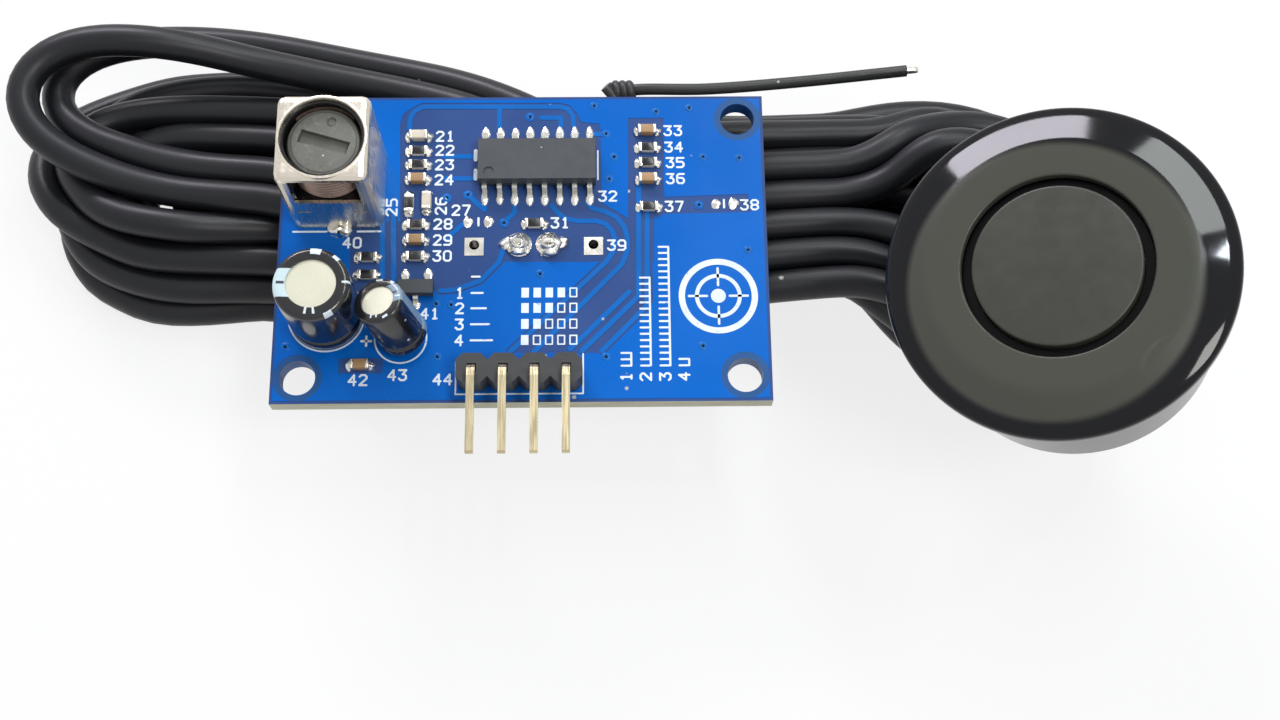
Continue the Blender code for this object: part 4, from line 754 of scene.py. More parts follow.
def lathe(shape, profile, sides, place, ring=False):
    """Add a turned solid to a bmesh: a profile of (radius, height) in millimetres, moved by place."""
    rows = []
    for radius, height in profile:
        count = 1 if radius < 1e-6 else sides
        row = []
        for k in range(count):
            angle = 2 * math.pi * k / sides
            spot = place @ Vector((radius * math.cos(angle), radius * math.sin(angle), height))
            row.append(shape.verts.new(spot * MM))
        rows.append(row)
    pairs = list(zip(rows, rows[1:]))
    if ring:
        pairs.append((rows[-1], rows[0]))
    for a, b in pairs:
        for k in range(sides):
            j = (k + 1) % sides
            corners = [a[k % len(a)], a[j % len(a)], b[j % len(b)], b[k % len(b)]]
            corners = list(dict.fromkeys(corners))
            if len(corners) > 2:
                shape.faces.new(corners)


def wall(shape, profile, start, end, place):
    """Add part of a turned ring to a bmesh: a closed profile of (radius, height) between two angles."""
    count = max(8, int(abs(end - start) / 4))
    rows = []
    for k in range(count + 1):
        angle = math.radians(start + (end - start) * k / count)
        rows.append([shape.verts.new((place @ Vector((r * math.cos(angle), r * math.sin(angle), z))) * MM)
                     for r, z in profile])
    for a, b in zip(rows, rows[1:]):
        for k in range(len(profile)):
            j = (k + 1) % len(profile)
            shape.faces.new((a[k], a[j], b[j], b[k]))
    if end - start < 359.9:
        shape.faces.new(rows[0])
        shape.faces.new(rows[-1])
    else:
        bmesh.ops.remove_doubles(shape, verts=rows[0] + rows[-1], dist=1e-7)


def capsules(path, width):
    """Outlines of a line of a given width with round ends: one for each stretch."""
    made = []
    radius = width / 2
    for (ax, ay), (bx, by) in zip(path, path[1:]):
        way = math.atan2(by - ay, bx - ax)
        outline = []
        for k in range(6):
            turn = way + math.pi / 2 + math.pi * k / 5
            outline.append((ax + radius * math.cos(turn), ay + radius * math.sin(turn)))
        for k in range(6):
            turn = way - math.pi / 2 + math.pi * k / 5
            outline.append((bx + radius * math.cos(turn), by + radius * math.sin(turn)))
        made.append(outline)
    return made


def disc(x, y, radius, sides):
    """The outline of a circle."""
    angles = [2 * math.pi * k / sides for k in range(sides)]
    return [(x + radius * math.cos(angle), y + radius * math.sin(angle)) for angle in angles]


def oblong(x, y, width, length):
    """The outline of a rectangle."""
    return [(x - width / 2, y - length / 2), (x + width / 2, y - length / 2),
            (x + width / 2, y + length / 2), (x - width / 2, y + length / 2)]


def plate(shape, wanted, unwanted, low, high):
    """Add a thin plate to a bmesh: the union of some outlines on the board, less others."""
    points = []
    faces = []
    for outline in wanted + unwanted:
        area = sum(a[0] * b[1] - b[0] * a[1] for a, b in zip(outline, outline[1:] + outline[:1]))
        if area < 0:
            outline = outline[::-1]
        faces.append(list(range(len(points), len(points) + len(outline))))
        points += [Vector(p) for p in outline]
    corners, _, parts, _, _, owners = delaunay_2d_cdt(points, [], faces, 0, 1e-5)
    chosen = []
    for part, owner in zip(parts, owners):
        if any(i < len(wanted) for i in owner) and not any(i >= len(wanted) for i in owner):
            chosen.append(part)
    used = {}
    for i in sorted({i for part in chosen for i in part}):
        top = shape.verts.new(on_board(corners[i].x, corners[i].y, high) * MM)
        bottom = shape.verts.new(on_board(corners[i].x, corners[i].y, low) * MM)
        used[i] = (top, bottom)
    sides = {}
    for part in chosen:
        shape.faces.new([used[i][0] for i in part])
        shape.faces.new([used[i][1] for i in reversed(part)])
        for a, b in zip(part, part[1:] + part[:1]):
            if (b, a) in sides:
                del sides[(b, a)]
            else:
                sides[(a, b)] = True
    for a, b in sides:
        shape.faces.new((used[a][1], used[b][1], used[b][0], used[a][0]))


def curve_through(points, spacing):
    """Evenly spaced points along a smooth curve through the given ones."""
    knots = np.array(points, float)
    knots = np.vstack([2 * knots[0] - knots[1], knots, 2 * knots[-1] - knots[-2]])
    part = np.linspace(0, 1, 24, endpoint=False)[:, None]
    line = []
    for a, b, c, d in zip(knots, knots[1:], knots[2:], knots[3:]):
        line.append(0.5 * (2 * b + (c - a) * part + (2 * a - 5 * b + 4 * c - d) * part ** 2
                           + (3 * b - a - 3 * c + d) * part ** 3))
    line = np.vstack(line + [knots[-2][None]])
    return evenly(line, spacing)


def evenly(line, spacing):
    """The same line with its points evenly spaced."""
    along = np.concatenate([[0], np.cumsum(np.linalg.norm(np.diff(line, axis=0), axis=1))])
    count = int(round(along[-1] / spacing)) + 1
    places = np.linspace(0, along[-1], count)
    return np.stack([np.interp(places, along, line[:, k]) for k in range(3)], 1)


def arc_points(centre, radius, z, start, end, count):
    """Points on a level arc, from start to end in degrees."""
    angles = np.radians(np.linspace(start, end, count))
    return [(centre[0] + radius * math.cos(a), centre[1] + radius * math.sin(a), z) for a in angles]


def layer_z(layer):
    """The height of the cable's middle in a layer of the hank."""
    return CABLE_R + ROW_RISE * (layer - 1)


def along_hank(start, end):
    """Two points between the stations, eased from one place in the bundle to the other."""
    points = []
    for t in (0.33, 0.66):
        ease = t * t * (3 - 2 * t)
        x = start[0] + (end[0] - start[0]) * t
        points.append((x, start[1] + (end[1] - start[1]) * ease, start[2] + (end[2] - start[2]) * ease))
    return points


def hank_route():
    """The route of the hank, turn after turn, between the probe's lead and the plug's."""
    route = list(JOIN_IN)
    for i, (back_right, back_left, front_right, front_left) in enumerate(TURNS):
        start = (STATION_RIGHT, back_right[0], layer_z(back_right[1]))
        route.append((STATION_OUT, start[1] + OUT_SHIFTS[i][0], start[2]))
        end = (STATION_LEFT, *back_left)
        route += [start] + along_hank(start, end) + [end]
        bend = LEFT_BENDS[i]
        route += bend if isinstance(bend, list) else arc_points(LEFT_CENTRE, bend[0], bend[1], 80, 280, 6)
        start = (STATION_LEFT, *front_left)
        route.append(start)
        if front_right:
            end = (STATION_RIGHT, front_right[0], layer_z(front_right[1]))
            route += along_hank(start, end) + [end]
            route.append((STATION_OUT, end[1] + OUT_SHIFTS[i][1], end[2]))
            radius, z = RIGHT_BENDS[i]
            route += arc_points(RIGHT_CENTRE, radius, z, -75, 75, 5)
    return route + JOIN_OUT


def keep_clear(line):
    """Move the cable's points out of the floor, board, socket, tie, probe and gland."""
    x, y, z = line[:, 0], line[:, 1], line[:, 2]
    z[:] = np.maximum(z, CABLE_R)
    left, right, back = BOARD_ROOM
    under = (x > left) & (x < right) & (y < back)
    z[under] = np.minimum(z[under], TIE_HEIGHT[1])
    left, right, back, top = SOCKET_ROOM
    socket = (x > left) & (x < right) & (y < back) & (z > top)
    z[socket] = top
    tied = np.abs(x - TIE_X) < 1.2
    z[tied] = np.clip(z[tied], *TIE_HEIGHT)
    y[tied] = np.clip(y[tied], *TIE_SPAN)
    axis = np.array(PROBE_AXIS)
    rear = np.array(PROBE_FACE) - PROBE_LENGTH * axis
    off = line - rear
    height = off @ axis
    radial = off - height[:, None] * axis
    away = np.linalg.norm(radial, axis=1)
    hit = (away < BARREL_ROOM) & (height > -REAR_ROOM)
    line[hit] -= (height[hit] + REAR_ROOM)[:, None] * axis
    hit = (away < GLAND_ROOM) & (height > GLAND_REACH[0]) & (height <= GLAND_REACH[1])
    line[hit] += radial[hit] * ((GLAND_ROOM - away[hit]) / np.maximum(away[hit], 1e-6))[:, None]


def settle(line, home, hold, free):
    """Let the cable find room for itself: it keeps its length, bends smoothly and pushes itself apart.

    The points before free are in the gland, or just out of it, and stay."""
    line = line.copy()
    rest = np.linalg.norm(np.diff(line, axis=0), axis=1).mean()
    skip = int(math.ceil(1.7 * CABLE_D / rest))
    fixed = line[:free].copy()
    end = line[-2:].copy()
    for turn in range(SETTLE_ROUNDS):
        if turn % 8 == 0:
            apart = np.zeros((len(line), len(line)))
            for k in range(3):
                apart += (line[:, None, k] - line[None, :, k]) ** 2
            first, second = np.where(np.triu(apart < (CABLE_D + 1.2) ** 2, skip))
        line += hold[:, None] * (home - line)
        line[:, 2] -= CABLE_SAG
        bend = np.zeros_like(line)
        bend[1:-1] = line[:-2] + line[2:] - 2 * line[1:-1]
        line[2:-2] -= CABLE_STIFFNESS * (bend[1:-3] + bend[3:-1] - 2 * bend[2:-2])
        for _ in range(3):
            for odd in (0, 1):
                pairs = (len(line) - odd) // 2
                a = line[odd:odd + 2 * pairs:2]
                b = line[odd + 1:odd + 2 * pairs:2]
                gap = b - a
                size = np.linalg.norm(gap, axis=1, keepdims=True)
                shift = gap * (0.5 * (size - rest) / np.maximum(size, 1e-9))
                a += shift
                b -= shift
            gap = line[second] - line[first]
            size = np.linalg.norm(gap, axis=1)
            close = size < CABLE_D
            share = CABLE_PUSH * (CABLE_D - size[close]) / np.maximum(size[close], 1e-6)
            push = gap[close] * share[:, None]
            np.add.at(line, first[close], -push)
            np.add.at(line, second[close], push)
            keep_clear(line[free:])
            line[:free] = fixed
            line[-2:] = end
    return line


def ease_bends(line):
    """Widen the bends that are tighter than the cable takes, a little at a time."""
    line = line.copy()
    for _ in range(EASE_ROUNDS):
        chords = line[6:] - 2 * line[3:-3] + line[:-6]
        step = np.linalg.norm(line[6:] - line[:-6], axis=1) / 2
        curve = np.linalg.norm(chords, axis=1) / np.maximum(step, 1e-6) ** 2
        share = np.clip((curve * CABLE_EASE - 1.0) * 2.0, 0.0, 1.0)
        share = np.convolve(share, np.ones(9) / 9, mode="same")
        share[:6] = 0.0
        share[-6:] = 0.0
        line[3:-3] += EASE_STEP * share[:, None] * chords
        line[:, 2] = np.maximum(line[:, 2], CABLE_R)
    return line


def cable_line():
    """The cable's whole centreline in millimetres, from inside the gland to the plug's wires."""
    inside = PROBE_FACE - 13.0 * PROBE_AXIS
    out = PROBE_FACE - 20.5 * PROBE_AXIS
    route = [tuple(inside), tuple(out)] + PROBE_LEAD + hank_route() + PLUG_LEAD
    start = curve_through(route, CABLE_STEP)
    first = int(np.argmin(np.linalg.norm(start[:40] - np.array(PROBE_LEAD[0]), axis=1)))
    last = int(np.argmin(np.linalg.norm(start[:80] - np.array(PROBE_LEAD[-1]), axis=1)))
    to_plug = np.linalg.norm(start[-40:] - np.array(PLUG_LEAD[0]), axis=1)
    tail = len(start) - 40 + int(np.argmin(to_plug))
    shown = (start[:, 0] < -20) | ((start[:, 0] > 20.5) & (start[:, 0] < 33))
    hold = np.where(shown, 0.02, 0.002)
    places = np.arange(len(start))
    hold = np.maximum(hold, np.clip(0.3 * (last + 4 - places) / 8, 0, 0.3))
    hold = np.maximum(hold, np.clip(0.3 * (places - tail + 4) / 8, 0, 0.3))
    line = evenly(settle(start, start, hold, first), CABLE_STEP / 2)
    return evenly(ease_bends(line), CABLE_STEP / 2)


def tube_mesh(name, line, radii, sides, flat=1.0, low_side=Vector((0, 0, 1))):
    """A closed tube along a line in millimetres, with a UV map: round it and along it, in metres."""
    line = [Vector(p) for p in line]
    ways = [(b - a).normalized() for a, b in zip(line, line[1:])]
    ways = [ways[0]] + [(a + b).normalized() for a, b in zip(ways, ways[1:])] + [ways[-1]]
    side = ways[0].cross(low_side).normalized() if flat != 1.0 else ways[0].orthogonal().normalized()
    rings = []
    shape = bmesh.new()
    uv = shape.loops.layers.uv.new("UVMap")
    lengths = [0.0]
    for a, b in zip(line, line[1:]):
        lengths.append(lengths[-1] + (b - a).length)
    for i, (place, way) in enumerate(zip(line, ways)):
        side = (side - way * side.dot(way)).normalized()
        up = way.cross(side) * flat
        radius = radii[i] if hasattr(radii, "__len__") else radii
        ring = []
        for k in range(sides):
            angle = 2 * math.pi * k / sides
            spot = place + (side * math.cos(angle) + up * math.sin(angle)) * radius
            ring.append(shape.verts.new(spot * MM))
        rings.append(ring)
    for i in range(len(rings) - 1):
        for k in range(sides):
            j = (k + 1) % sides
            face = shape.faces.new((rings[i][k], rings[i][j], rings[i + 1][j], rings[i + 1][k]))
            corners = ((k, i), (k + 1, i), (k + 1, i + 1), (k, i + 1))
            for loop, (u, v) in zip(face.loops, corners):
                loop[uv].uv = (u / sides, lengths[v] * MM)
    shape.faces.new(rings[0][::-1])
    shape.faces.new(rings[-1])
    mesh = bpy.data.meshes.new(name)
    shape.to_mesh(mesh)
    shape.free()
    return keep(bpy.data.objects.new(name, mesh), 60.0)


def build_parts_tree():
    """The Geometry Nodes tree that sets one shape on every point, turned and sized by its attributes."""
    global PARTS_TREE
    tree = bpy.data.node_groups.new("shape_on_points", "GeometryNodeTree")
    face = tree.interface
    for label, kind in (("Geometry", "NodeSocketGeometry"), ("Shape", "NodeSocketObject"),
                        ("Finish", "NodeSocketMaterial"), ("Turn Spread", "NodeSocketFloat"),
                        ("Size Spread", "NodeSocketFloat"), ("Seed", "NodeSocketInt")):
        face.new_socket(label, in_out="INPUT", socket_type=kind)
    face.new_socket("Geometry", in_out="OUTPUT", socket_type="NodeSocketGeometry")
    nodes = Nodes(tree)
    given = nodes.node("NodeGroupInput").outputs
    shape = nodes.node("GeometryNodeObjectInfo", transform_space="ORIGINAL")
    nodes.feed(given["Shape"], shape.inputs["Object"])
    turn = nodes.node("GeometryNodeInputNamedAttribute", data_type="FLOAT_VECTOR")
    turn.inputs["Name"].default_value = "turn"
    size = nodes.node("GeometryNodeInputNamedAttribute", data_type="FLOAT_VECTOR")
    size.inputs["Name"].default_value = "size"
    spread = []
    for label in ("Turn Spread", "Size Spread"):
        chance = nodes.node("FunctionNodeRandomValue", data_type="FLOAT_VECTOR")
        chance.inputs[0].default_value = (-1.0, -1.0, -1.0)
        chance.inputs[1].default_value = (1.0, 1.0, 1.0)
        nodes.feed(given["Seed"], chance.inputs["Seed"])
        scaled = nodes.node("ShaderNodeVectorMath", operation="SCALE")
        nodes.feed(chance.outputs[0], scaled.inputs[0])
        nodes.feed(given[label], scaled.inputs["Scale"])
        spread.append(scaled.outputs[0])
    put = nodes.node("GeometryNodeInstanceOnPoints")
    nodes.feed(given["Geometry"], put.inputs["Points"])
    nodes.feed(shape.outputs["Geometry"], put.inputs["Instance"])
    nodes.feed(nodes.vector("ADD", turn.outputs["Attribute"], spread[0]), put.inputs["Rotation"])
    grown = nodes.vector("ADD", (1.0, 1.0, 1.0), spread[1])
    nodes.feed(nodes.vector("MULTIPLY", size.outputs["Attribute"], grown), put.inputs["Scale"])
    real = nodes.node("GeometryNodeRealizeInstances")
    nodes.feed(put.outputs[0], real.inputs[0])
    dressed = nodes.node("GeometryNodeSetMaterial")
    nodes.feed(real.outputs[0], dressed.inputs["Geometry"])
    nodes.feed(given["Finish"], dressed.inputs["Material"])
    nodes.feed(dressed.outputs[0], nodes.node("NodeGroupOutput").inputs[0])
    PARTS_TREE = tree


def on_points(name, spots, shape, finish, turn_spread=0.0, size_spread=0.0, seed=1):
    """Pieces alike on many places: each spot is a place in millimetres, its turns and its sizes."""
    mesh = bpy.data.meshes.new(name + "_places")
    mesh.from_pydata([Vector(spot[0]) * MM for spot in spots], [], [])
    for label, values in (("turn", [v for spot in spots for v in spot[1]]),
                          ("size", [v for spot in spots for v in spot[2]])):
        mesh.attributes.new(label, "FLOAT_VECTOR", "POINT").data.foreach_set("vector", values)
    holder = bpy.data.objects.new(name + "_places", mesh)
    bpy.context.scene.collection.objects.link(holder)
    bpy.context.scene.collection.objects.link(shape)
    step = holder.modifiers.new("shapes", "NODES")
    step.node_group = PARTS_TREE
    values = {"Shape": shape, "Finish": finish, "Turn Spread": turn_spread, "Size Spread": size_spread,
              "Seed": seed}
    for item in PARTS_TREE.interface.items_tree:
        if item.in_out == "INPUT" and item.name in values:
            step[item.identifier] = values[item.name]
    graph = bpy.context.evaluated_depsgraph_get()
    made = bpy.data.meshes.new_from_object(holder.evaluated_get(graph))
    made.name = name
    bpy.data.objects.remove(holder)
    bpy.data.objects.remove(shape)
    obj = keep(bpy.data.objects.new(name, made), 50.0)
    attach(obj, FIXED)
    return obj


def shape_of(shape, name):
    """A helper object that holds a shape to be repeated."""
    bmesh.ops.recalc_face_normals(shape, faces=shape.faces)
    mesh = bpy.data.meshes.new(name)
    shape.to_mesh(mesh)
    shape.free()
    return bpy.data.objects.new(name, mesh)


def mound(lumps, sides, rows, seed):
    """A half ball one millimetre in radius with its flat side down, made uneven by lumps."""
    shape = bmesh.new()
    profile = [(0.0, 1.0)]
    for k in range(1, rows + 1):
        angle = math.pi / 2 * k / rows
        profile.append((math.sin(angle), math.cos(angle)))
    profile[-1] = (1.0, 0.0)
    lathe(shape, profile + [(0.0, 0.0)], sides, Matrix.Identity(4))
    for vert in shape.verts:
        if vert.co.z > 0.0001:
            spot = vert.co / MM * 1.7 + Vector((seed, seed * 0.7, 0))
            vert.co *= 1.0 + lumps * noise.noise(spot)
    return shape_of(shape, "mound")


def block(length, width, height, soft, low=0.0):
    """A block with rounded edges standing on its underside."""
    shape = bmesh.new()
    place = Matrix.Translation((0, 0, (low + height / 2) * MM)) @ Matrix.Diagonal(
        (length * MM, width * MM, height * MM, 1.0))
    bmesh.ops.create_cube(shape, size=1.0, matrix=place)
    bmesh.ops.bevel(shape, geom=list(shape.edges), offset=soft * MM, segments=2, affect="EDGES",
                    profile=0.5)
    return shape


def two_ends(length, width, height, end, soft):
    """The two plated ends of a chip component."""
    shape = bmesh.new()
    for side in (-1, 1):
        place = Matrix.Translation((side * (length - end) / 2 * MM, 0, height / 2 * MM)) @ Matrix.Diagonal(
            (end * MM, width * MM, height * MM, 1.0))
        cube = bmesh.ops.create_cube(shape, size=1.0, matrix=place)
        edges = list({edge for vert in cube["verts"] for edge in vert.link_edges})
        bmesh.ops.bevel(shape, geom=edges, offset=soft * MM, segments=2, affect="EDGES", profile=0.5)
    return shape


def camera():
    """The camera at the photograph's viewing angle."""
    data = bpy.data.cameras.new("camera")
    data.lens = CAMERA_LENS
    data.sensor_width = 36.0
    data.clip_start = 0.005
    cam = bpy.data.objects.new("camera", data)
    back = -CAMERA_AIM.normalized()
    right = (CAMERA_RIGHT - back * CAMERA_RIGHT.dot(back)).normalized()
    up = back.cross(right)
    turn = Matrix((right, up, back)).transposed().to_4x4()
    cam.matrix_world = Matrix.Translation(CAMERA_AT) @ turn
    bpy.context.scene.collection.objects.link(cam)
    bpy.context.scene.camera = cam


def seen_directly(nodes):
    """One for what the camera sees itself or in a gloss or through glass, and none for other light."""
    path = nodes.node("ShaderNodeLightPath").outputs
    seen = nodes.math("MAXIMUM", path["Is Camera Ray"], path["Is Glossy Ray"])
    return nodes.math("MAXIMUM", seen, path["Is Transmission Ray"])


def stage():
    """A white floor under the object, and soft light from the world and four lamps."""
    shape = bmesh.new()
    bmesh.ops.create_grid(shape, x_segments=1, y_segments=1, size=1.5)
    mesh = bpy.data.meshes.new("floor")
    shape.to_mesh(mesh)
    shape.free()
    floor = bpy.data.objects.new("floor", mesh)
    bpy.context.scene.collection.objects.link(floor)
    floor_finish = bpy.data.materials.new("floor_finish")
    floor_finish.use_nodes = True
    nodes = Nodes(floor_finish.node_tree)
    shader = floor_finish.node_tree.nodes["Principled BSDF"]
    shader.inputs["Base Color"].default_value = FLOOR_COLOR
    shader.inputs["Roughness"].default_value = 0.9
    glow = nodes.node("ShaderNodeEmission")
    mix = nodes.node("ShaderNodeMixShader")
    nodes.feed(nodes.math("MULTIPLY", seen_directly(nodes), FLOOR_GLOW), mix.inputs[0])
    nodes.feed(shader.outputs[0], mix.inputs[1])
    nodes.feed(glow.outputs[0], mix.inputs[2])
    nodes.feed(mix.outputs[0], floor_finish.node_tree.nodes["Material Output"].inputs["Surface"])
    mesh.materials.append(floor_finish)
    world = bpy.data.worlds.new("world")
    bpy.context.scene.world = world
    world.use_nodes = True
    nodes = Nodes(world.node_tree)
    light = world.node_tree.nodes["Background"]
    light.inputs["Color"].default_value = WORLD_COLOR
    light.inputs["Strength"].default_value = WORLD_STRENGTH
    white = nodes.node("ShaderNodeBackground")
    mix = nodes.node("ShaderNodeMixShader")
    nodes.feed(seen_directly(nodes), mix.inputs[0])
    nodes.feed(light.outputs[0], mix.inputs[1])
    nodes.feed(white.outputs[0], mix.inputs[2])
    nodes.feed(mix.outputs[0], world.node_tree.nodes["World Output"].inputs["Surface"])
    for name, start, end, away, width, power, color in LAMPS:
        first = Vector(start).normalized() * away
        last = Vector(end).normalized() * away
        data = bpy.data.lights.new(name, "AREA")
        data.shape = "RECTANGLE"
        data.size = (last - first).length
        data.size_y = width
        data.energy = power
        data.color = color
        lamp = bpy.data.objects.new(name, data)
        back = (first + last).normalized()
        along = (last - first).normalized()
        turn = Matrix((along, back.cross(along), back)).transposed().to_4x4()
        lamp.matrix_world = Matrix.Translation(PROBE_FACE * MM + (first + last) / 2) @ turn
        bpy.context.scene.collection.objects.link(lamp)


def plug_wires(finish):
    """The plug's two wires, from inside its housing to the end of the cable's jacket."""
    made = []
    for i, x in enumerate(SOCKET_PLACES):
        line = [on_board(x, -8.68, -3.93), on_board(x, -11.0, -3.93)]
        line += [Vector((x - 1.4 - 0.4 * i, -19.8 + 0.35 * i, 8.4)),
                 Vector((-4.6 - 0.2 * i, -18.9 + 0.6 * i, 6.2)),
                 Vector((-6.8, -18.4 + 1.15 * i, 4.6)),
                 Vector((-9.7 + 0.3 * i, -18.05 + 1.3 * i, 3.4))]
        wire = tube_mesh(f"plug_wire_cover_{i + 1}", curve_through(line, 0.4), 0.55, 14)
        wire.data.materials.append(finish["wire_red" if i else "wire_black"])
        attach(wire, FIXED)
        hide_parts(f"plug_wire_{i + 1}")
        made.append(wire)
    return made


def cable(finish):
    """The probe's cable, one unbroken cord from the gland to the plug's wires."""
    line = cable_line()
    obj = tube_mesh("probe_cable", line, CABLE_R, 18)
    obj.data.materials.append(finish["jacket"])
    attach(obj, FIXED)
    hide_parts("cable_hank", "probe_lead", "plug_lead")
    (["cable_plug", "plug_contact_1", "plug_contact_2"]
            + plug_wires(finish))


def twist_tie(finish):
    """The tie: a flat vinyl strip over a wire, round the hank, with its short end wound on its tail."""
    bend = TIE_BEND
    knot_y, knot_z = TIE_KNOT
    middle = (TIE_BACK + TIE_FRONT) / 2
    ring = [(knot_y - 0.6, TIE_TOP), (TIE_BACK - bend, TIE_TOP), (middle, TIE_TOP),
            (TIE_FRONT + 2 * bend, TIE_TOP)]
    for angle in (90, 120, 150, 180):
        ring.append((TIE_FRONT + bend + bend * math.cos(math.radians(angle)),
                     TIE_TOP - bend + bend * math.sin(math.radians(angle))))
    ring.append((TIE_FRONT, 5.2))
    for angle in (180, 210, 240, 270):
        ring.append((TIE_FRONT + bend + bend * math.cos(math.radians(angle)),
                     TIE_LOW + bend + bend * math.sin(math.radians(angle))))
    ring += [(TIE_FRONT + 2 * bend, TIE_LOW), (middle, TIE_LOW), (TIE_BACK - 2 * bend, TIE_LOW)]
    for angle in (270, 300, 330, 360):
        ring.append((TIE_BACK - bend + bend * math.cos(math.radians(angle)),
                     TIE_LOW + bend + bend * math.sin(math.radians(angle))))
    ring += [(TIE_BACK, 5.2), (TIE_BACK, 7.8)]
    line = [(TIE_X - 0.9, knot_y + 0.4, knot_z + 0.2)] + [(TIE_X, y, z) for y, z in ring]
    line += [(TIE_X + 0.3, knot_y + 0.1, 10.0)] + TIE_TAIL
    line = curve_through(line, 0.5)
    obj = tube_mesh("twist_tie_vinyl", line, TIE_R, 14, flat=0.82)
    obj.data.materials.append(finish["tie"])
    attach(obj, FIXED)
    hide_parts("twist_tie")
    tail = [Vector(p) for p in line[-3:]]
    way = (tail[-1] - tail[0]).normalized()
    tip = tube_mesh("tie_wire_tip", [tail[-1] - way * 0.6, tail[-1] + way * 0.5, tail[-1] + way * 0.95,
                                     tail[-1] + way * 1.05], [0.3, 0.3, 0.28, 0.18], 12)
    tip.data.materials.append(finish["tin"])
    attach(tip, FIXED)
    turns = []
    for k in range(31):
        angle = 2 * math.pi * k / 12
        spot = Vector((TIE_X - 0.1 + 0.6 * k / 12, knot_y + 0.25, knot_z - 0.4))
        turns.append(spot + Vector((0, 0.55 * math.cos(angle), 0.55 * math.sin(angle))))
    knot = tube_mesh("tie_knot", turns, 0.4, 10)
    knot.data.materials.append(finish["tie"])
    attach(knot, FIXED)


def board_dressing(finish):
    """Copper and traces under the mask, tinned pads, hole rims and the white print."""
    hole = HOLE_D / 2
    edge = oblong(0, 0, BOARD_W - 0.5, BOARD_L - 0.5)
    rims = [disc(x, y, 2.0, 48) for x, y in HOLES]
    gaps = [part for trace in TRACES for part in capsules(trace, TRACE_W + 0.3)]
    round_holes = [disc(x, HEADER_Y, 0.95, 16) for x in PIN_PLACES]
    shape = bmesh.new()
    plate(shape, [edge], CLEARED + rims + gaps + round_holes, 0.0, COPPER_T)
    piece(shape, "mask_over_copper", finish["copper"])
    shape = bmesh.new()
    lines = [part for trace in TRACES for part in capsules(trace, TRACE_W)]
    collars = [disc(x, y, 0.42, 16) for x, y in VIAS]
    plate(shape, lines + collars, [disc(x, y, 0.2, 10) for x, y in VIAS], 0.0, 1.15 * COPPER_T)
    piece(shape, "mask_over_traces", finish["trace"])
    shape = bmesh.new()
    plate(shape, rims, [disc(x, y, hole, 48) for x, y in HOLES], 0.0, 0.02)
    # Walls lining the holes in the same dark blue-grey: painted shade of the holes' depth
    for x, y in HOLES:
        profile = [(hole - 0.04, 0.02), (hole, 0.02), (hole, -BOARD_T - 0.02),
                   (hole - 0.04, -BOARD_T - 0.02)]
        lathe(shape, profile, 48, Matrix.Translation(on_board(x, y)), ring=True)
    piece(shape, "mounting_hole_rims", finish["hole_ring"])
    shape = bmesh.new()
    squares = [oblong(x, SOCKET_Y - 0.15, 1.6, 1.6) for x in SPARE_PLACES]
    plate(shape, squares, [disc(x, SOCKET_Y, 0.5, 20) for x in SPARE_PLACES], 0.0, PRINT_T)
    pads = [disc(x, HEADER_Y, 0.85, 20) for x in PIN_PLACES]
    plate(shape, pads, [disc(x, HEADER_Y, 0.5, 16) for x in PIN_PLACES], 0.0, 0.025)
    piece(shape, "tinned_pads", finish["tin"])
    shape = bmesh.new()
    for x in SPARE_PLACES:
        lathe(shape, [(0.43, 0.03), (0.5, 0.03), (0.5, -BOARD_T), (0.43, -BOARD_T)], 20,
              Matrix.Translation(on_board(x, SOCKET_Y)), ring=True)
    piece(shape, "plated_hole_walls", finish["tin"])
    white_print(finish)


def digit_strokes(text, x, y, turns):
    """The strokes of a plain number, from its left end and base line."""
    strokes = []
    unit = LABEL_H / 6
    for i, mark in enumerate(text):
        for stroke in DIGITS[mark]:
            path = []
            for u, v in stroke:
                along = i * LABEL_PITCH + u * unit
                rise = v * unit
                path.append((x - rise, y + along) if turns else (x + along, y + rise))
            strokes += capsules(path, PRINT_W)
    return strokes


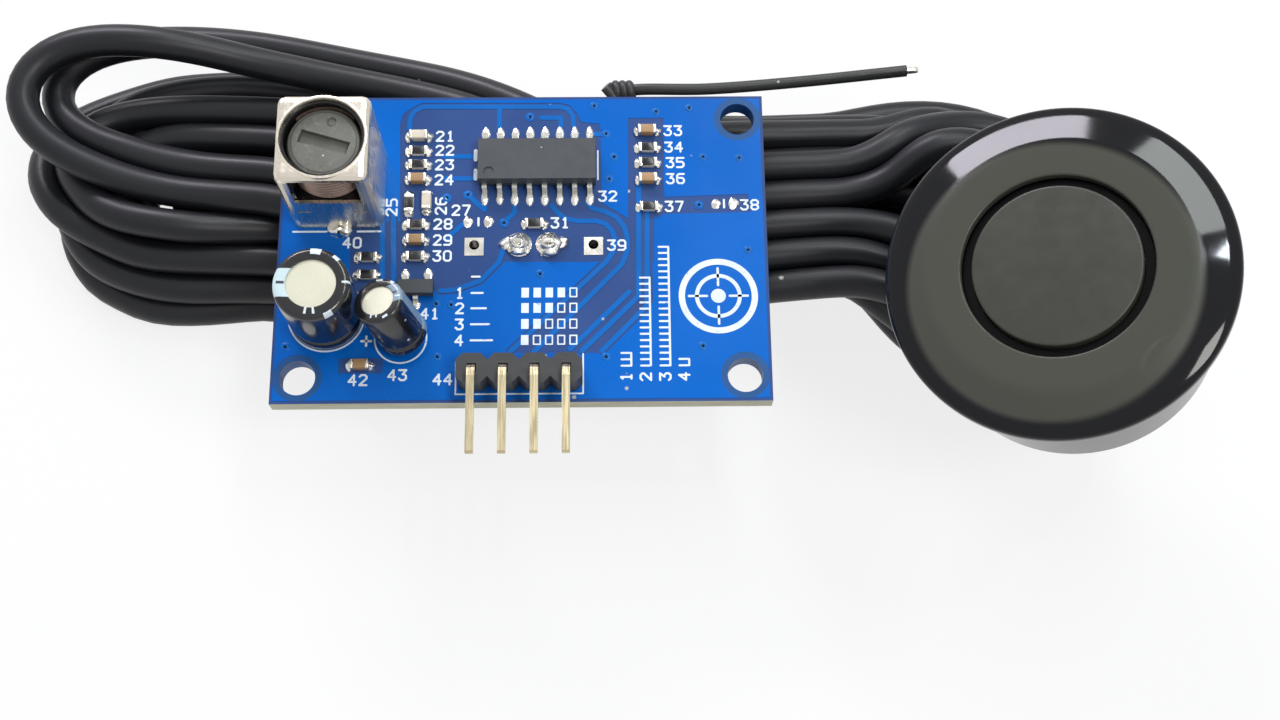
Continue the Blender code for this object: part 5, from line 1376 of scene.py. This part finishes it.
def white_print(finish):
    """Plain numbers, outlines, rows of squares for a table, rules for the pins and a round target."""
    shape = bmesh.new()
    for text, x, y, turns in LABELS:
        plate(shape, digit_strokes(text, x, y, turns), [], 0.0, PRINT_T)
    for path, width in PRINT_LINES:
        plate(shape, capsules(path, width), [], 0.0, PRINT_T)
    for x, y, radius in CAP_RINGS:
        plate(shape, [disc(x, y, radius + 0.08, 64)], [disc(x, y, radius - 0.06, 64)], 0.0, PRINT_T)
    for i, y in enumerate(TABLE_ROWS):
        marks = digit_strokes(str(i), TABLE_LEFT, y, 0) if i else []
        middle = y + LABEL_H / 2
        marks += capsules([(TABLE_LEFT + 1.25, middle), (TABLE_LEFT + 1.9 + 0.28 * i, middle)], PRINT_W)
        if i:
            for k in range(5 - i):
                marks.append(oblong(TABLE_RIGHT + 0.4 + 1.0 * k, middle, 0.62, LABEL_H))
            for k in range(5 - i, 5):
                frame_line = oblong(TABLE_RIGHT + 0.4 + 1.0 * k, middle, 0.55, 0.75)
                marks += capsules(frame_line + frame_line[:1], 0.12)
        plate(shape, marks, [], 0.0, PRINT_T)
    for x, top, text in PIN_RULES:
        marks = digit_strokes(text, x, PIN_RULE_FOOT, 1)
        y = PIN_RULE_FOOT + 1.25
        while y < top - 0.3:
            marks += capsules([(x - 0.8, y), (x - 0.1, y)], PRINT_W)
            y += 0.55
        marks += capsules([(x, PIN_RULE_FOOT + 1.25), (x, y - 0.55)], PRINT_W)
        plate(shape, marks, [], 0.0, PRINT_T)
    x, y = TARGET
    for outer, inner in ((3.3, 2.78), (1.95, 1.62), (0.62, 0.0)):
        cut = [disc(x, y, inner, 64)] if inner else []
        plate(shape, [disc(x, y, outer, 64)], cut, 0.0, PRINT_T)
    for turn in range(4):
        way = Vector((math.cos(turn * math.pi / 2), math.sin(turn * math.pi / 2)))
        start = Vector((x, y)) + way * 0.95
        end = Vector((x, y)) + way * 2.45
        plate(shape, capsules([tuple(start), tuple(end)], 0.2), [], 0.0, PRINT_T)
    piece(shape, "white_print", finish["print"])


def board_solder(finish):
    """Vias with near-black discs of painted shade in their holes, pads with solder at every lead, and the
    soldered tails under the board.
    """
    shape = bmesh.new()
    rim = [(0.13, 0.0), (0.13, 0.045), (0.2, 0.065), (0.34, 0.05), (0.4, 0.0)]
    lathe(shape, rim, 14, Matrix.Identity(4), ring=True)
    spots = [(on_board(x, y), (0, 0, 0), (1, 1, 1)) for x, y in VIAS]
    on_points("via_rims", spots, shape_of(shape, "via_rim"), finish["trace"], 0.02, 0.05, 3)
    shape = bmesh.new()
    # Near-black discs over the vias' holes, in the seal's rubber finish: painted shade of the holes
    lathe(shape, [(0.0, 0.04), (0.145, 0.04), (0.145, 0.0), (0.0, 0.0)], 12, Matrix.Identity(4))
    on_points("via_holes", spots, shape_of(shape, "via_hole"), finish["seal"], 0.0, 0.1, 4)

    spots = []
    for i in range(8):
        x = CHIP[0] + (i - 3.5) * CHIP_PITCH
        for side in (-1, 1):
            spots.append((on_board(x, CHIP[1] + side * 2.98, 0.0), (0, 0, 0), (0.37, 0.66, 0.2)))
    for x, side in ((-0.95, 1), (0.95, 1), (0.0, -1)):
        spots.append((on_board(TRANSISTOR[0] + x, TRANSISTOR[1] + side * 1.32), (0, 0, 0),
                      (0.4, 0.52, 0.17)))
    on_points("lead_solder", spots, mound(0.1, 16, 5, 2.0), finish["solder"], 0.03, 0.08, 5)

    spots = []
    for parts, high in ((RESISTORS, 0.3), (CERAMICS, 0.42)):
        for x, y, turns in parts.values():
            for side in (-1, 1):
                off = Vector((side * 0.86, 0)) if not turns else Vector((0, side * 0.86))
                grown = (0.36, 0.47, high) if not turns else (0.47, 0.36, high)
                spots.append((on_board(x + off.x, y + off.y), (0, 0, 0), grown))
    for x, y in BARE_PADS:
        spots.append((on_board(x, y), (0, 0, 0), (0.42, 0.5, 0.14)))
    on_points("component_solder", spots, mound(0.35, 14, 5, 5.0), finish["solder"], 0.12, 0.12, 9)
    spots = []
    down = (math.pi, 0, 0)
    for x in PIN_PLACES:
        spots.append((on_board(x, HEADER_Y, -BOARD_T), down, (0.95, 0.95, 1.0)))
    for x, y in CAP_LEADS:
        spots.append((on_board(x, y, -BOARD_T), down, (0.85, 0.85, 0.95)))
    for x, y in XFMR_PINS:
        spots.append((on_board(XFMR[0] + x, XFMR[1] + y, -BOARD_T), down, (0.85, 0.85, 0.95)))
    for side in (-1, 1):
        spots.append((on_board(XFMR[0], XFMR[1] + side * 3.6, -BOARD_T), down, (1.1, 0.95, 0.8)))
    shape = bmesh.new()
    cone = [(0.0, 1.05), (0.28, 1.0), (0.36, 0.75), (0.5, 0.4), (0.75, 0.14), (1.0, 0.02), (1.0, 0.0),
            (0.0, 0.0)]
    lathe(shape, cone, 16, Matrix.Identity(4))
    on_points("solder_cones_below", spots, shape_of(shape, "cone"), finish["solder"], 0.04, 0.08, 6)
    spots = [(on_board(XFMR[0] + 0.1, XFMR[1] - 3.95), (0, 0, 0), (1.05, 0.75, 0.85)),
             (on_board(XFMR[0], XFMR[1] + 3.95), (0, 0, 0), (1.0, 0.6, 0.8))]
    on_points("can_tab_solder", spots, mound(0.3, 20, 8, 1.0), finish["solder"], 0.05, 0.05, 2)
    spots = []
    for x in SOCKET_PLACES:
        side = -1 if x < 0.8 else 1
        spots += [(on_board(x + 0.1 * side, SOCKET_Y), (0, 0, 0.2), (1.15, 1.0, 0.75)),
                  (on_board(x + side * 1.0, SOCKET_Y + 0.15), (0, 0, 0.5), (0.8, 0.55, 0.4)),
                  (on_board(x - side * 0.5, SOCKET_Y - 0.55), (0, 0, 1.1), (0.5, 0.4, 0.35))]
    on_points("socket_pin_solder", spots, mound(0.4, 22, 9, 7.0), finish["solder"], 0.2, 0.1, 8)


def chip_components(finish):
    """Chip resistors and ceramic capacitors, each on its place on the board."""
    spots = [(on_board(x, y, 0.03), (0, 0, turns * math.pi / 2), (1, 1, 1))
             for x, y, turns in RESISTORS.values()]
    shape = block(PART_L - 0.04, PART_W, RESISTOR_H - 0.05, 0.03)
    body = on_points("resistor_bodies", spots, shape_of(shape, "body"), finish["alumina"])
    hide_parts(*RESISTORS)
    shape = block(PART_L - 2 * END_L + 0.02, PART_W - 0.04, 0.07, 0.03, RESISTOR_H - 0.07)
    on_points("resistor_tops", spots, shape_of(shape, "top"), finish["resistor"])
    shape = two_ends(PART_L, PART_W + 0.03, RESISTOR_H, END_L, 0.06)
    on_points("resistor_ends", spots, shape_of(shape, "ends"), finish["tin"])
    for label, wanted in (("ceramic", [n for n in CERAMICS if n not in PALE_CERAMICS]),
                          ("ceramic_pale", list(PALE_CERAMICS))):
        spots = [(on_board(*CERAMICS[n][:2], 0.03), (0, 0, CERAMICS[n][2] * math.pi / 2), (1, 1, 1))
                 for n in wanted]
        shape = block(PART_L - 0.06, PART_W - 0.02, CERAMIC_H, 0.06)
        body = on_points(label + "_bodies", spots, shape_of(shape, "body"), finish[label])
        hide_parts(*wanted)
        shape = two_ends(PART_L, PART_W + 0.03, CERAMIC_H + 0.03, END_L, 0.1)
        on_points(label + "_ends", spots, shape_of(shape, "ends"), finish["tin"])


def tuning_cap(finish):
    """The ferrite cap that turns, with its ridges, slot and pressed dot."""
    radius = CAP_D / 2
    step = CAP_H * 0.8 / 5
    profile = [(0.0, 0.0), (radius - 0.55, 0.0), (radius - 0.4, -0.03), (radius - 0.2, -0.12),
               (radius - 0.12, -0.25)]
    for i in range(5):
        profile.append((radius - 0.02, -0.25 - (i + 0.35) * step))
        profile.append((radius, -0.25 - (i + 0.5) * step))
        profile.append((radius - 0.02, -0.25 - (i + 0.65) * step))
        profile.append((radius - 0.13, -0.25 - (i + 1) * step))
    profile += [(radius - 0.4, -CAP_H), (radius - 0.8, -CAP_H), (radius - 0.8, -1.1), (0.0, -1.1)]
    top = Matrix.Translation(on_board(*XFMR, XFMR_H - CAP_SINK))
    shape = bmesh.new()
    lathe(shape, profile, 96, top)
    cap = piece(shape, "tuning_cap_ferrite", finish["ferrite"], TURNING, 30.0)
    slot = bmesh.new()
    place = top @ Matrix.Rotation(math.radians(-17.0), 4, "Z")
    cube = Matrix.Translation(place.translation * MM) @ place.to_3x3().to_4x4()
    size = Matrix.Diagonal((4.1 * MM, 1.15 * MM, 1.2 * MM, 1.0))
    bmesh.ops.create_cube(slot, size=1.0, matrix=cube @ size)
    carve(cap, slot)
    dot = bmesh.new()
    lathe(dot, [(0.0, 0.3), (0.42, 0.3), (0.4, -0.12), (0.34, -0.16), (0.22, -0.1), (0.0, -0.12)], 28,
          top @ Matrix.Translation((0.55, 1.75, 0.0)))
    carve(cap, dot)
    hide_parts("transformer_tuning_cap")


def transformer_trim(finish):
    """The holder's collar and thread, two tongues in the can's front slots and the can's rolled mouth."""
    shape = bmesh.new()
    foot = Matrix.Translation(on_board(*XFMR))
    wall(shape, [(3.12, 9.15), (3.38, 9.15), (3.38, 9.54), (3.12, 9.54)], 0.0, 360.0, foot)
    wall(shape, [(3.12, 6.8), (3.38, 6.8), (3.38, 9.15), (3.12, 9.15)], 8.0, 172.0, foot)
    piece(shape, "holder_collar", finish["holder"])
    thread = [(3.1, 8.85), (3.1, 5.43), (3.3, 5.43)]
    for i in range(7):
        z = 5.5 + 0.47 * i
        thread += [(3.2, z), (3.36, z + 0.14), (3.38, z + 0.24), (3.36, z + 0.34), (3.2, z + 0.46)]
    shape = bmesh.new()
    wall(shape, thread, 222.0, 318.0, foot)
    wall(shape, thread, 42.0, 138.0, foot)
    piece(shape, "holder_thread", finish["thread"], smooth=50.0)
    shape = bmesh.new()
    for side in (-1, 1):
        place = Matrix.Translation(on_board(XFMR[0] + side * 2.3, XFMR[1] - 3.6, 3.66) * MM)
        size = Matrix.Diagonal((1.04 * MM, 0.1 * MM, 0.24 * MM, 1.0))
        bmesh.ops.create_cube(shape, size=1.0, matrix=place @ size)
    piece(shape, "slot_tongues", finish["tin"])
    shape = bmesh.new()
    mouth = XFMR_MOUTH_D / 2
    lip = [(mouth - 0.06, -0.32), (mouth - 0.06, -0.06), (mouth, 0.02), (mouth + 0.12, 0.03),
           (mouth + 0.2, 0.0), (mouth + 0.2, -0.28)]
    lathe(shape, lip, 96, Matrix.Translation(on_board(*XFMR, XFMR_H)), ring=True)
    piece(shape, "can_mouth_lip", finish["tinplate"])


def carve(obj, cutter):
    """Cut a shape out of a piece for good."""
    bmesh.ops.recalc_face_normals(cutter, faces=cutter.faces)
    mesh = bpy.data.meshes.new("cutter")
    cutter.to_mesh(mesh)
    cutter.free()
    tool = bpy.data.objects.new("cutter", mesh)
    bpy.context.scene.collection.objects.link(tool)
    step = obj.modifiers.new("cut", "BOOLEAN")
    step.operation = "DIFFERENCE"
    step.solver = "EXACT"
    step.object = tool
    graph = bpy.context.evaluated_depsgraph_get()
    made = bpy.data.meshes.new_from_object(obj.evaluated_get(graph))
    obj.modifiers.remove(step)
    old = obj.data
    name = old.name
    obj.data = made
    bpy.data.meshes.remove(old)
    made.name = name
    bpy.data.objects.remove(tool)
    made.set_sharp_from_angle(angle=math.radians(30))


def capacitor_tilt(lean):
    """How a capacitor leans."""
    turn = Matrix.Rotation(math.radians(SMALL_LEAN_TO), 4, "Z") @ Matrix.Rotation(math.radians(lean), 4, "Y")
    return turn @ Matrix.Rotation(math.radians(-SMALL_LEAN_TO), 4, "Z")


def sleeves(finish):
    """The printed sleeves shrunk over the two electrolytic capacitors."""
    for name, spec, lean in (("big", BIG_CAP, 0.0), ("small", SMALL_CAP, SMALL_LEAN)):
        x, y, diameter, height, disc_d = spec
        outer = diameter / 2
        inner = outer - SLEEVE_FILM
        groove = 0.05 * diameter
        dent = 0.16 * diameter + SLEEVE_FILM
        lip = disc_d / 2
        profile = rounded([(lip, height - SLEEVE_FILM), (lip, height, 0.06), (outer, height, 0.6),
                           (outer, dent + 2 * groove, 0.3), (outer - groove, dent + groove, 0.3),
                           (outer, dent, 0.3), (outer, 0.0, 0.4), (outer - 0.55, 0.0),
                           (outer - 0.55, SLEEVE_FILM), (inner, SLEEVE_FILM, 0.2), (inner, dent),
                           (inner - groove, dent + groove), (inner, dent + 2 * groove),
                           (inner, height - SLEEVE_FILM, 0.4)], 5)
        lift = outer * math.sin(math.radians(lean)) + 0.03
        shape = bmesh.new()
        lathe(shape, profile, 96, Matrix.Translation(on_board(x, y, lift)) @ capacitor_tilt(lean), ring=True)
        node = "large_capacitor_sleeve" if name == "big" else "small_capacitor_sleeve"
        obj = piece(shape, name + "_capacitor_wrap", finish["sleeve_" + name])
        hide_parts(node)


def probe(finish):
    """The probe's turned pieces, with finer roundness than their solids."""
    turn = Vector((0, 0, 1)).rotation_difference(PROBE_AXIS).to_matrix().to_4x4()
    place = Matrix.Translation(PROBE_FACE) @ turn
    shell = rounded([(7.05, -2.2), (7.05, 0.0, 0.22), (9.75, 0.0, 0.45), (12.3, -0.78, 0.35),
                     (13.05, -1.15, 0.6), (13.05, -2.3, 0.35), (11.35, -2.3, 0.2),
                     (11.35, -PROBE_LENGTH, 0.7), (9.75, -PROBE_LENGTH), (9.75, -2.2)], 8)
    seal = rounded([(6.31, -0.95), (6.99, -0.95), (6.99, -2.26), (7.55, -2.26), (7.55, -5.42),
                    (6.31, -5.42)], 3)
    can = rounded([(0.0, 0.0), (6.25, 0.0, 0.22), (6.25, -3.1), (7.25, -3.1), (7.25, -4.1), (6.25, -4.1),
                   (6.25, -8.6), (5.25, -8.6), (5.25, -1.0), (0.0, -1.0)], 5)
    gland = rounded([(1.46, -12.4), (3.2, -12.4), (3.2, -16.2, 0.3), (2.7, -16.6, 0.3), (2.21, -19.0, 0.4),
                     (2.0, -19.2, 0.1), (1.46, -19.2)], 4)
    for name, profile, ring, look, node, slot in (
            ("probe_shell", shell, True, "shell", "probe_housing", "probe_shell"),
            ("transducer_face", can, False, "transducer", "transducer_can", "transducer"),
            ("seal_round_transducer", seal, True, "seal", "sealing_ring", "seal"),
            ("cable_gland_boot", gland, True, "gland", "cable_gland", "seal")):
        shape = bmesh.new()
        lathe(shape, profile, 160 if name == "probe_shell" else 120, place, ring)
        obj = piece(shape, name, finish[look])
        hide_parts(node)


def dress_frame(finish):
    """Give the frame's own nodes their finishes."""
    looks = {
        "circuit_board": "laminate", "header_block": "header", "cable_socket": "nylon",
        "cable_plug": "nylon",
        "transformer_can": "tinplate", "transformer_base": "header", "transformer_holder": "holder",
        "transformer_drum_core": "ferrite", "transformer_winding": "copper_wire",
        "large_capacitor": "aluminium", "small_capacitor": "aluminium", "controller_chip": "chip",
        "transistor": "transistor", "potting_fill": "potting", "piezo_disc": "piezo",
        "damping_pad": "foam",
    }
    for i in (1, 2, 3, 4):
        looks[f"header_pin_{i}"] = "gold"
    for i in (1, 2):
        looks[f"plug_contact_{i}"] = "tin"
        looks[f"socket_pin_{i}"] = "tin"
        looks[f"solder_joint_{i}"] = "solder"
    for name, look in looks.items():
        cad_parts[name].material_slots[0].material = finish[look]


def main():
    """Set the camera, then make the finishes, the cords, the stage and every piece, and dress the frame."""
    bpy.context.scene.view_settings.view_transform = "Standard"
    camera()
    build_effects()
    build_parts_tree()
    finish = finishes()
    cable(finish)
    twist_tie(finish)
    stage()
    board_dressing(finish)
    board_solder(finish)
    chip_components(finish)
    tuning_cap(finish)
    transformer_trim(finish)
    sleeves(finish)
    probe(finish)
    dress_frame(finish)


main()
